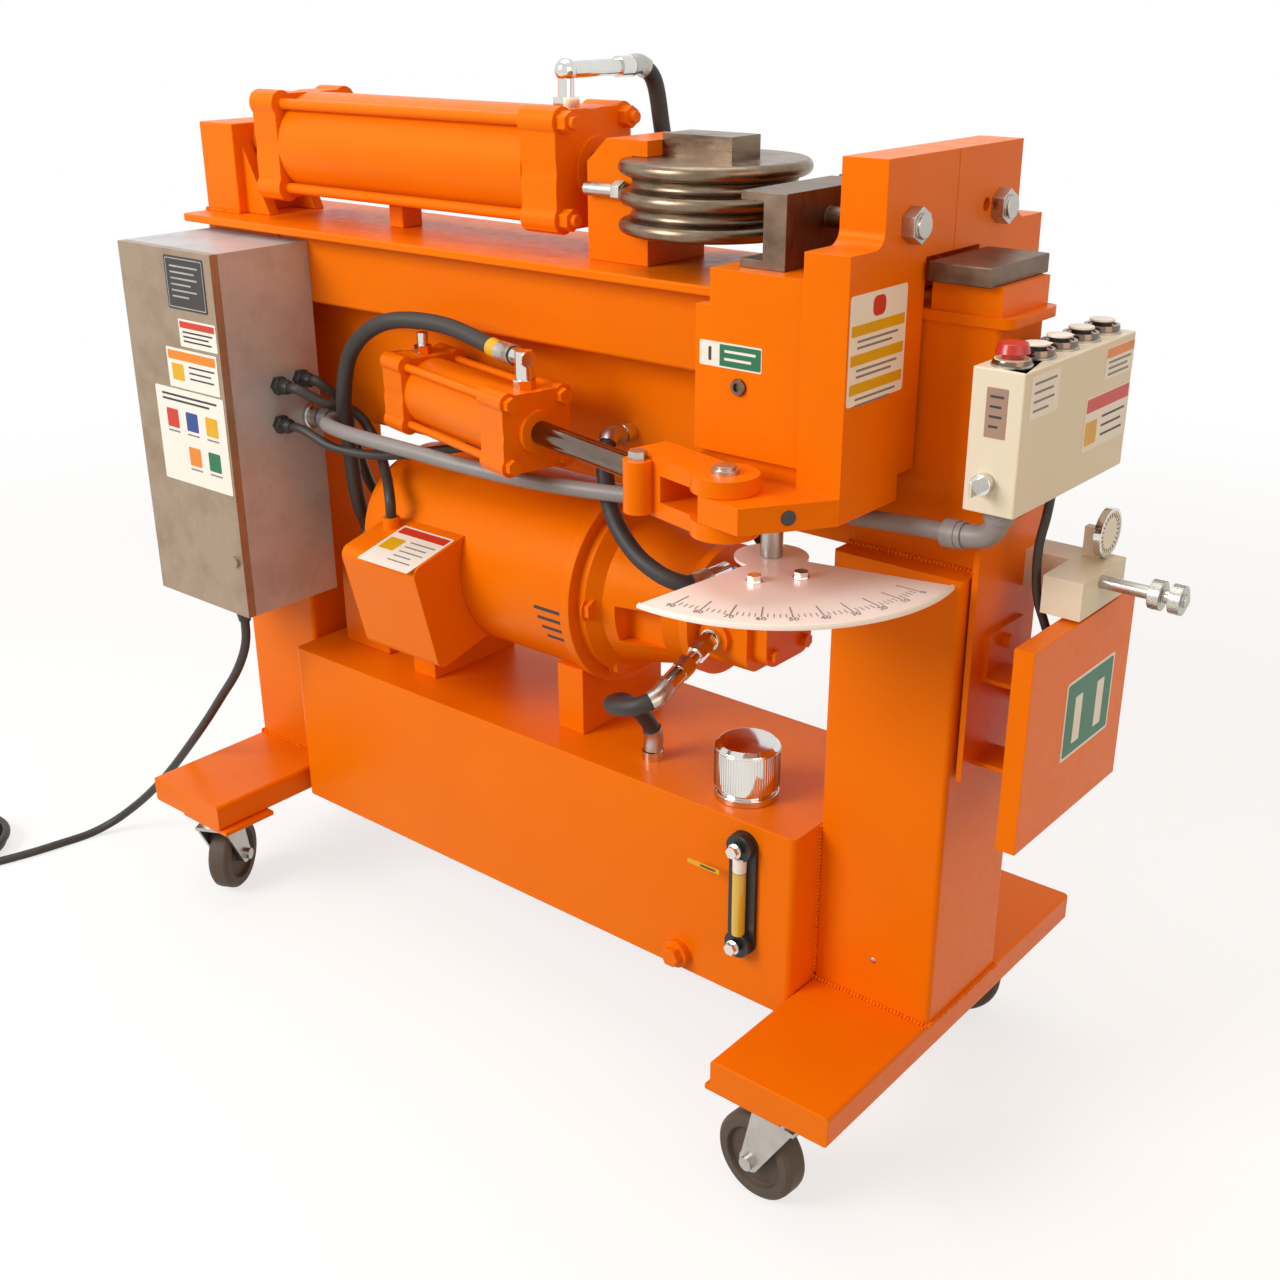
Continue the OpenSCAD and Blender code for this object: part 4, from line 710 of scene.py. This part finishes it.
looks = (
    ("base_feet column_left column_right main_beam table_plate head_lugs ram_bracket motor_terminal_box "
     "hydraulic_pump valve_manifold guard_panel gate_front gate_rear", orange, "safety_orange", 2.0),
    ("oil_tank ram_heads ram_barrel motor_housing", orange, "safety_orange", 1.2),
    ("gate_front_cylinder gate_rear_cylinder", orange, "safety_orange", 1.2, chrome,
     lambda c: c.z > PORT_LEVEL),
    ("die_holder", orange, "safety_orange", 2.0, zinc, lambda c: c.y < HOLDER_FRONT),
    ("nose_plate", dark_steel, "tool_steel", 1.2),
    ("gate_front_shoe gate_rear_shoe", dark_steel, "tool_steel", 1.2, zinc, lambda c: c.x > SHOE_BACK),
    ("radius_die", tool_steel, "tool_steel", 0.8),
    ("cabinet_box", stainless, "stainless", 1.5),
    ("cabinet_door", shaded_door_stainless, "stainless", 1.5),
    ("control_box depth_block", cream, "cream_paint", 1.2),
    ("pivot_pins depth_knob motor_rotor", zinc, "zinc_steel", 0.8),
    ("pipe_fittings breather_cap key_switch", chrome, "chrome", 0.8),
    ("ram_rod", reflection_darkened_chrome, "chrome", 0.8),
    ("sight_gauge motor_starter valve_lever start_button forward_button return_button gate_button",
     black_plastic, "black_plastic", 0.8),
    ("protractor", acrylic, "clear_scale", 0.4))
for nodes, *look in looks:
    for node in nodes.split():
        dressed(node, *look)
for side, node in ((-1, "gate_front_rod"), (1, "gate_rear_rod")):
    tail_pin = at(-255, side * 92, 953)
    along = Vector((0.97234, side * 0.23357, 0))
    skin = dressed(node, reflection_darkened_chrome, "zinc_steel", 0.8, orange,
                   lambda c: (c - tail_pin).dot(along) > CLEVIS_START and c.z < PIN_HEAD)
    skin.data.materials.append(zinc)
    for polygon in skin.data.polygons:
        if polygon.center.z > PIN_HEAD:
            polygon.material_index = 2
stop_skin = dressed("stop_button", red_plastic, "red_plastic", 0.8)
for vertex in stop_skin.data.vertices:
    if CAP_LOW < vertex.co.z < CAP_HIGH:
        vertex.co.z += CAP_LIFT
for corner in ("front_right", "front_left", "rear_right", "rear_left"):
    dressed("caster_fork_" + corner, zinc, "zinc_steel", 0.8)
    dressed("caster_wheel_" + corner, tyre_rubber, "wheel_rubber", 0.8)
print("dressed solids ready")

# %% [markdown]
# ## Plates and cards
# A shop machine carries rating plates and operating cards. Here they are plain: a field of colour with a
# border and a few bars where lines would run, laid 0.6 mm proud of the metal as riveted plates are. The
# motor's vents are dark cards laid on its round side in the same way: painted shade where the slots would be.

# %% Plates
PLATE, PRINT, RAISED = 0.6, 0.9, 1.1
LID_TILT = math.radians(14)
MOTOR_HEIGHT, MOTOR_RADIUS = 690, 142
BAR_LENGTHS = (1.0, 0.86, 0.94, 0.7, 0.9, 0.6)


def plate(u, v, width, height, material=white_card, radius=2):
    return u, v, width, height, PLATE, radius, material


def field(u, v, width, height, material, radius=1):
    return u, v, width, height, PRINT, radius, material


def bars(u, v, width, count, pitch, material, height=2.6, thick=PRINT):
    """Short bars under each other, standing for lines."""
    lengths = [BAR_LENGTHS[k % 6] for k in range(count)]
    return [(u - width * (1 - part) / 2, v - k * pitch, width * part, height, thick, 0.8, material)
            for k, part in enumerate(lengths)]


rating = [plate(50, 1091, 97, 80, ink, 3), (50, 1091, 91, 74, 0.8, 2, zinc), field(50, 1091, 88, 71, ink, 2)]
rating += bars(50, 1116, 70, 6, 9, zinc, thick=RAISED)
small = [plate(66.5, 1016, 92, 42), field(66.5, 1029, 86, 10, red_field)]
small += bars(66.5, 1018, 74, 3, 7, ink)
wide = [plate(43, 959, 127, 62), field(43, 979, 119, 14, amber_field), field(5, 953, 30, 26, yellow_band, 2)]
wide += bars(66, 964, 64, 3, 9, ink)
card = [plate(24.5, 849, 174, 152, white_card, 3)] + bars(24.5, 914, 140, 2, 8, ink, 3.4)
for k, tone in enumerate((red_field, blue_field, yellow_band, amber_field, green_field)):
    u = -24 + 50 * (k % 3) + (48 if k > 2 else 0)
    v = 876 - 56 * (k // 3)
    card += [field(u, v, 30, 30, tone, 2)] + bars(u, v - 21, 30, 1, 6, grey_ink)
door_cards = rating + small + wide + card
gate_card = [plate(0, 0, 88, 29), field(14, 0, 58, 25, green_field)]
gate_card += bars(14, 5, 44, 2, 9, white_card, 3, RAISED) + [field(-29, 0, 4, 16, ink)]
slab_card = [plate(0, 0, 117, 121, white_card, 4), field(0, 44, 26, 22, red_field, 8)]
for v in (22, -10, -42):
    slab_card += [field(0, v, 109, 12, yellow_band)] + bars(0, v - 12, 84, 2, 7, grey_ink)
side_card = [plate(0, 0, 25, 55, bronze_field, 1)] + bars(0, 18, 16, 4, 11, ink)
front_cards = [plate(-92, 93, 68, 48)] + bars(-92, 108, 52, 4, 10, grey_ink)
front_cards += [plate(99, 97, 76, 37), field(99, 109, 72, 11, amber_field)] + bars(99, 98, 60, 3, 7, grey_ink)
front_cards += [plate(78, 33, 118, 64), field(78, 55, 112, 16, red_field)]
front_cards += [field(38, 22, 30, 28, yellow_band, 2)] + bars(96, 36, 62, 3, 11, ink)
guard_card = [plate(0, 0, 132, 104, white_card, 4), field(0, 0, 124, 96, green_field, 3)]
guard_card += [(u, -4, 20, 62, RAISED, 2, white_card) for u in (-30, 30)]
lid_card = [plate(36, 0, 108, 100, white_card, 3), field(36, 38, 100, 16, red_field)]
lid_card += [field(4, 2, 32, 30, yellow_band, 2)] + bars(56, 16, 52, 5, 12, grey_ink)
lid_spot = at(-189, -156 - 18 * math.cos(LID_TILT) - 88 * math.sin(LID_TILT),
              652 - 18 * math.sin(LID_TILT) + 88 * math.cos(LID_TILT))
lid_up = (0, math.cos(LID_TILT), math.sin(LID_TILT))
level_card = [plate(0, 0, 54, 7, yellow_band, 1), field(8, 0, 26, 3, ink)]
level_spot = at(390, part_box("oil_tank")[0][1] / MM, 391)
plates = [
    ("door_plates", door_cards, at(-566.5, -272.8, 0), ALONG, UP, "cabinet_door", "stainless"),
    ("gate_card", gate_card, at(449, -214, 1107), ALONG, UP, "gate_front", "safety_orange"),
    ("slab_card", slab_card, at(608, -158, 1132), ACROSS, UP, "gate_front", "safety_orange"),
    ("control_side_card", side_card, at(749, -140, 1074), ALONG, UP, "frame", "cream_paint"),
    ("control_cards", front_cards, at(780, 0, 998), ACROSS, UP, "frame", "cream_paint"),
    ("guard_plate", guard_card, at(820, 28, 686), ACROSS, UP, "frame", "safety_orange"),
    ("terminal_card", lid_card, lid_spot, ALONG, lid_up, "frame", "safety_orange"),
    ("level_card", level_card, level_spot, ALONG, UP, "frame", "safety_orange")]
# Each vent is a dark card: painted shade where a slot would be.
for k in range(4):
    dip = math.asin((12 + 15 * k) / MOTOR_RADIUS)
    vent_shade = [(0, 0, 54 - 5 * k, 5, 0.5, 2.4, ink)]
    spot = at(80 + 2.5 * k, -MOTOR_RADIUS * math.cos(dip), MOTOR_HEIGHT - MOTOR_RADIUS * math.sin(dip))
    rise = (0, -math.sin(dip), math.cos(dip))
    plates.append(("motor_vent_%d" % k, vent_shade, spot, ALONG, rise, "frame", "safety_orange"))
for name, blocks, spot, u, v, body, slot in plates:
    settle(cards(name, blocks, spot, u, v), body, slot)
print("plates:", len(plates))

# %% [markdown]
# ## Angle scale
# The scale under the front gate is a milky acrylic sector, engraved every two degrees and numbered every
# ten. The marks repeat along an arc, so the block tree sets them, and the numbers are text made into mesh.

# %% Angle scale
PIVOT = Vector((470, -150, 852))
SCALE_ZERO = 2  # the direction of the scale's zero, in degrees
ARC_STEPS = 60


def on_scale(radius, degrees, lift):
    angle = math.radians(degrees)
    return at(*(PIVOT + Vector((radius * math.cos(angle), radius * math.sin(angle), lift))))


def arc(radius, first, sweep_angle):
    """Points on the scale, clockwise from a direction."""
    return [on_scale(radius, first - sweep_angle * k / ARC_STEPS, 0.2) for k in range(ARC_STEPS + 1)]


def numerals(name, labels, size, material):
    """Numbers lying on the scale, as (text, place, turn about Z), joined in one mesh."""
    shape = bmesh.new()
    for label, spot, turn in labels:
        text = bpy.data.curves.new(name, "FONT")
        text.body = label
        text.size = size
        text.align_x = "CENTER"
        text.extrude = 0.0002
        holder = placed(name + "_text", text)
        holder.matrix_world = Matrix.Translation(spot) @ Matrix.Rotation(turn, 4, "Z")
        bpy.context.view_layer.update()
        graph = bpy.context.evaluated_depsgraph_get()
        mesh = bpy.data.meshes.new_from_object(holder.evaluated_get(graph))
        mesh.transform(holder.matrix_world)
        shape.from_mesh(mesh)
        bpy.data.objects.remove(holder)
    mesh = bpy.data.meshes.new(name)
    shape.to_mesh(mesh)
    shape.free()
    mesh.materials.clear()
    mesh.materials.append(material)
    return placed(name, mesh)


for label, radius, count, size in (
        ("fine", 198, 46, (0.010, 0.0006, 0.0008)), ("long", 188, 10, (0.030, 0.0007, 0.0012))):
    marks = grown("scale_marks_" + label, arc(radius, SCALE_ZERO, 90), row, Count=count, Size=size,
                  Material=grey_ink)
    settle(marks, "frame", "clear_scale")
rim = swept("scale_rim", arc(229.5, 11.5, 107), 0.0022, 8, white_card)
settle(rim, "frame", "clear_scale")
labels = [(str(k), on_scale(212, SCALE_ZERO - k, 0.3), math.radians(SCALE_ZERO + 90 - k))
          for k in range(0, 100, 10)]
settle(numerals("scale_numbers", labels, 0.012, grey_ink), "frame", "clear_scale")
screws = grown("scale_screws", [at(541, -190, 852), at(505, -235, 852)], bolts, closed=None, Across=0.009,
               Height=0.007, Material=chrome)
settle(screws, "frame", "zinc_steel")
print("scale with", len(labels), "numbers")

# %% [markdown]
# ## Controls and gauges
# Push buttons sit in dark metal rings, the stop button in a lower one that leaves room for its head. The
# breather and the depth screw are knurled so that a greasy hand can turn them, and the oil gauge shows a
# column of oil with a pale empty part above it.

# %% Controls
BUTTON_X, BUTTON_FIRST, BUTTON_PITCH, BOX_TOP = 748.5, -112, 56, 1121
LOW_RING, HIGH_RING = 7.6, 9.6
GAUGE_X, GAUGE_FRONT, TUBE_Y = 442, -175, -163
for k, node in enumerate(("stop", "start", "forward", "return", "gate")):
    seat = at(BUTTON_X, BUTTON_FIRST + BUTTON_PITCH * k, BOX_TOP)
    rise = LOW_RING if node == "stop" else HIGH_RING
    profile = [(21.2, 0), (21.2, rise - 2.4), (20.4, rise), (16.4, rise), (15.6, LOW_RING), (12.4, LOW_RING),
               (12.4, 0.2)]
    # The rings are the chrome whose dark tone is painted reflection.
    settle(lathe(node + "_ring", profile, seat, UP, reflection_darkened_chrome, 36, True), "frame", "black_plastic")
    if node != "stop":
        profile = [(14.4, 13.2), (15, 14), (14.4, 15.6), (9, 16.2), (0.6, 16.3)]
        cap = lathe(node + "_cap", profile, seat, UP, white_card, 32)
        settle(cap, BODY_OF[node + "_button"], "black_plastic")
    profile = [(22.8, 0), (22.8, 2.4), (21.0, 3), (21.0, 0.2)]
    settle(lathe(node + "_nut", profile, seat, UP, zinc, 24, True), "frame", "zinc_steel")


def circle(middle, radius, axis, count=64):
    """Points of a circle, for things set round a turned piece."""
    spot = Vector(axis).to_track_quat("Z", "Y")
    return [middle + spot @ Vector((radius * MM * math.cos(2 * math.pi * k / count),
                                    radius * MM * math.sin(2 * math.pi * k / count), 0))
            for k in range(count)]


dial = at(804, 72, 894)
dial_ring = circle(dial + Vector((0.0007, 0, 0)), 22, ALONG)
knurls = (
    ("breather_knurl", circle(at(395, -85, 513), 44.6, UP), 72, (0.003, 0.054, 0.0022), chrome,
     "breather_cap", "chrome"),
    ("depth_knurl_inner", circle(at(890, 22, 851), 16.8, ALONG), 48, (0.0132, 0.002, 0.0012), zinc,
     "depth_knob", "zinc_steel"),
    ("depth_knurl_outer", circle(at(914, 22, 851), 16.8, ALONG), 48, (0.0132, 0.002, 0.0012), zinc,
     "depth_knob", "zinc_steel"),
    ("dial_marks", dial_ring, 24, (0.0006, 0.005, 0.0012), ink, "frame", "cream_paint"))
for name, points, count, size, material, body, slot in knurls:
    knurl = grown(name, points, row, closed=True, Count=count, Size=size, Material=material)
    settle(knurl, body, slot)
for name, profile, foot, material in (
        ("gauge_oil", [(9.2, 0), (9.5, 2), (9.5, 96), (9.2, 98)], 298, oil),
        ("gauge_glass", [(9.3, 0), (9.6, 2), (9.6, 20), (9.3, 22)], 397, white_card)):
    column = lathe(name, profile, at(GAUGE_X, TUBE_Y, foot), UP, material, 24)
    settle(column, "frame", "black_plastic")
ends = [at(GAUGE_X, GAUGE_FRONT, z) for z in (282, 434)]
gauge_bolts = grown("gauge_bolts", ends, bolts, closed=None, Across=0.009, Height=0.008,
                    Turn=Euler((math.pi / 2, 0, 0)), Material=chrome)
settle(gauge_bolts, "frame", "zinc_steel")
profile = [(30.4, -7.2), (30.4, 1.6), (27, 1.6), (27, 0.2), (26.8, -7.2)]
settle(lathe("dial_rim", profile, dial, ALONG, chrome, 40, True), "frame", "chrome")
dial_face = lathe("dial_face", [(26.8, 0), (26.8, 0.5), (26, 0.6)], dial, ALONG, white_card, 40)
settle(dial_face, "frame", "cream_paint")
print("controls ready")

# %% [markdown]
# ## Welds, bolts and small pieces
# The frame is welded, and its beads show as rows of small ripples where plates meet. One tree drops rounded
# beads of slightly different sizes along each seam, with a fixed seed. Bolts are hexagon heads on washers,
# and a thin cable runs down from the control box.

# %% Welds
BEAD_PITCH, BEAD_RADIUS, SEAM_STEPS = 5, 0.0046, 12
BELL_X, BELL_RADIUS = 142, 121
seams = {
    "column_foot_front": [(523, -93, 226), (701, -93, 226)],
    "column_foot_side": [(703, -91, 226), (703, 91, 226)],
    "column_tank": [(521, -91, 236), (521, -91, 464)],
    "column_step": [(523, -57, 856), (701, -57, 856)],
    "left_foot_front": [(-701, -93, 226), (-523, -93, 226)],
    "bracket_front": [(-724, -73, 1163), (-640, -73, 1163)],
    "beam_left": [(-519, -93, 1050), (-519, -93, 1140)]}
for k, (name, (first, last)) in enumerate(seams.items()):
    run = (Vector(last) - Vector(first)).length
    seam = [at(*Vector(first).lerp(Vector(last), j / SEAM_STEPS)) for j in range(SEAM_STEPS + 1)]
    weld = grown("weld_" + name, seam, bead, Count=int(run / BEAD_PITCH), Radius=BEAD_RADIUS, Seed=k,
                 Material=orange)
    settle(weld, "frame", "safety_orange")
route = [(767, -20, 959), (764, -20, 930), (758, -19, 895), (757, -17, 860), (760, -13, 825), (768, -6, 795),
         (777, 0, 765), (781, 0, 742), (782, 0, 721.4)]
box_cable = swept("box_cable", smooth([at(*p) for p in route]), 0.0055, 16, cord_rubber)
settle(box_cable, "frame", "black_rubber")
flange = [at(BELL_X, BELL_RADIUS * math.sin(a), MOTOR_HEIGHT + BELL_RADIUS * math.cos(a))
          for a in (math.radians(30 + 60 * k) for k in range(6))]
bell_bolts = grown("bell_bolts", flange, bolts, closed=None, Across=0.016, Height=0.009,
                   Turn=Euler((0, math.pi / 2, 0)), Material=orange)
settle(bell_bolts, "frame", "safety_orange")
edge_out = Vector((0.8245, -0.566, 0))
for name, profile, base, axis, material, sides, body, slot in (
        ("hub_screw", [(10, -0.5), (10, 3), (9, 4.5), (5.5, 4.5), (5.5, 1), (0.5, 1)], at(462, -214, 1073),
         (0, -1, 0), dark_steel, 28, "gate_front", "zinc_steel"),
        # The arm's hole is a flat dark disc: painted shade where the opening would be.
        ("arm_hole", [(9, -0.4), (9, 0.3), (8.4, 0.4)], at(574, -270, 953) + 0.0002 * edge_out, edge_out,
         ink, 28, "gate_front", "safety_orange"),
        ("column_plug", [(4.5, -0.4), (4.5, 1.2), (3, 2)], at(615, -91.6, 292), (0, -1, 0), zinc, 20,
         "frame", "zinc_steel")):
    settle(lathe(name, profile, base, axis, material, sides), body, slot)
print("welds:", len(seams))

# %% [markdown]
# ## Light and floor
# The picture has a white background, a strong soft light from the front left and a weak warm one on the
# control end. The camera, mirrors and glass see a white world and floor, and matt surfaces only a dimmer,
# warmer one.

# %% Light and floor
WHITE = (1, 1, 1, 1)
FLOOR_RADIUS = 9
FADE_START, FADE_END = 1.6, 4.2  # metres from the middle; beyond, all is white
NEAR_GLOW = 0.72


def sharp_rays(tree):
    """One for rays from the camera, off mirrors and through glass, and nought for all others."""
    ray = add(tree, "ShaderNodeLightPath").outputs
    clear = maths(tree, "MAXIMUM", ray["Is Camera Ray"], ray["Is Transmission Ray"])
    return maths(tree, "MAXIMUM", clear, ray["Is Glossy Ray"])


def lamp(name, where, aim, size, watts, colour="#FFFFFF"):
    light = bpy.data.lights.new(name, "AREA")
    light.size = size
    light.energy = watts
    light.color = paint(colour)[:3]
    holder = placed(name, light)
    holder.location = where
    holder.rotation_euler = (Vector(aim) - Vector(where)).to_track_quat("-Z", "Y").to_euler()


world = bpy.data.worlds.new("studio")
bpy.context.scene.world = world
world.use_nodes = True
tree = world.node_tree
tree.nodes.clear()
soft = add(tree, "ShaderNodeBackground", {"Color": paint("#FFE9D2"), "Strength": 0.5})
white = add(tree, "ShaderNodeBackground", {"Color": WHITE, "Strength": 1.0})
seen = add(tree, "ShaderNodeMixShader", {0: sharp_rays(tree), 1: soft.outputs[0], 2: white.outputs[0]})
add(tree, "ShaderNodeOutputWorld", {"Surface": seen.outputs[0]})
lamp("key", (-1.7, -3.8, 3.0), (0, 0, 0.7), 2.2, 162)
lamp("fill", (3.6, -1.0, 2.0), (0.2, 0, 0.8), 2.5, 31, "#FFDDB8")
lamp("top", (-0.4, 0.2, 4.2), (0, 0, 0.8), 2.6, 54)

disc = bmesh.new()
bmesh.ops.create_circle(disc, cap_ends=True, segments=96, radius=FLOOR_RADIUS)
floor_mesh = bpy.data.meshes.new("floor")
disc.to_mesh(floor_mesh)
disc.free()
floor = placed("floor", floor_mesh)
pale, tree, shader, place = surface("pale_floor", Roughness=0.8)
sharp = sharp_rays(tree)
tree.links.new(mixed(tree, sharp, paint("#ABA8A2"), WHITE), shader.inputs["Base Color"])
reach = add(tree, "ShaderNodeVectorMath", {0: place}, operation="LENGTH").outputs["Value"]
fade = ramp(tree, reach, FADE_START, FADE_END, interpolation_type="SMOOTHSTEP")
share = maths(tree, "MULTIPLY", ramp(tree, fade, to_low=NEAR_GLOW), sharp)
glow = add(tree, "ShaderNodeEmission", {"Color": WHITE, "Strength": 1.0})
ground = add(tree, "ShaderNodeMixShader", {0: share, 1: shader.outputs[0], 2: glow.outputs[0]})
output = next(n for n in tree.nodes if n.type == "OUTPUT_MATERIAL")
tree.links.new(ground.outputs[0], output.inputs["Surface"])
floor_mesh.materials.append(pale)
bpy.context.scene.view_settings.view_transform = "Standard"
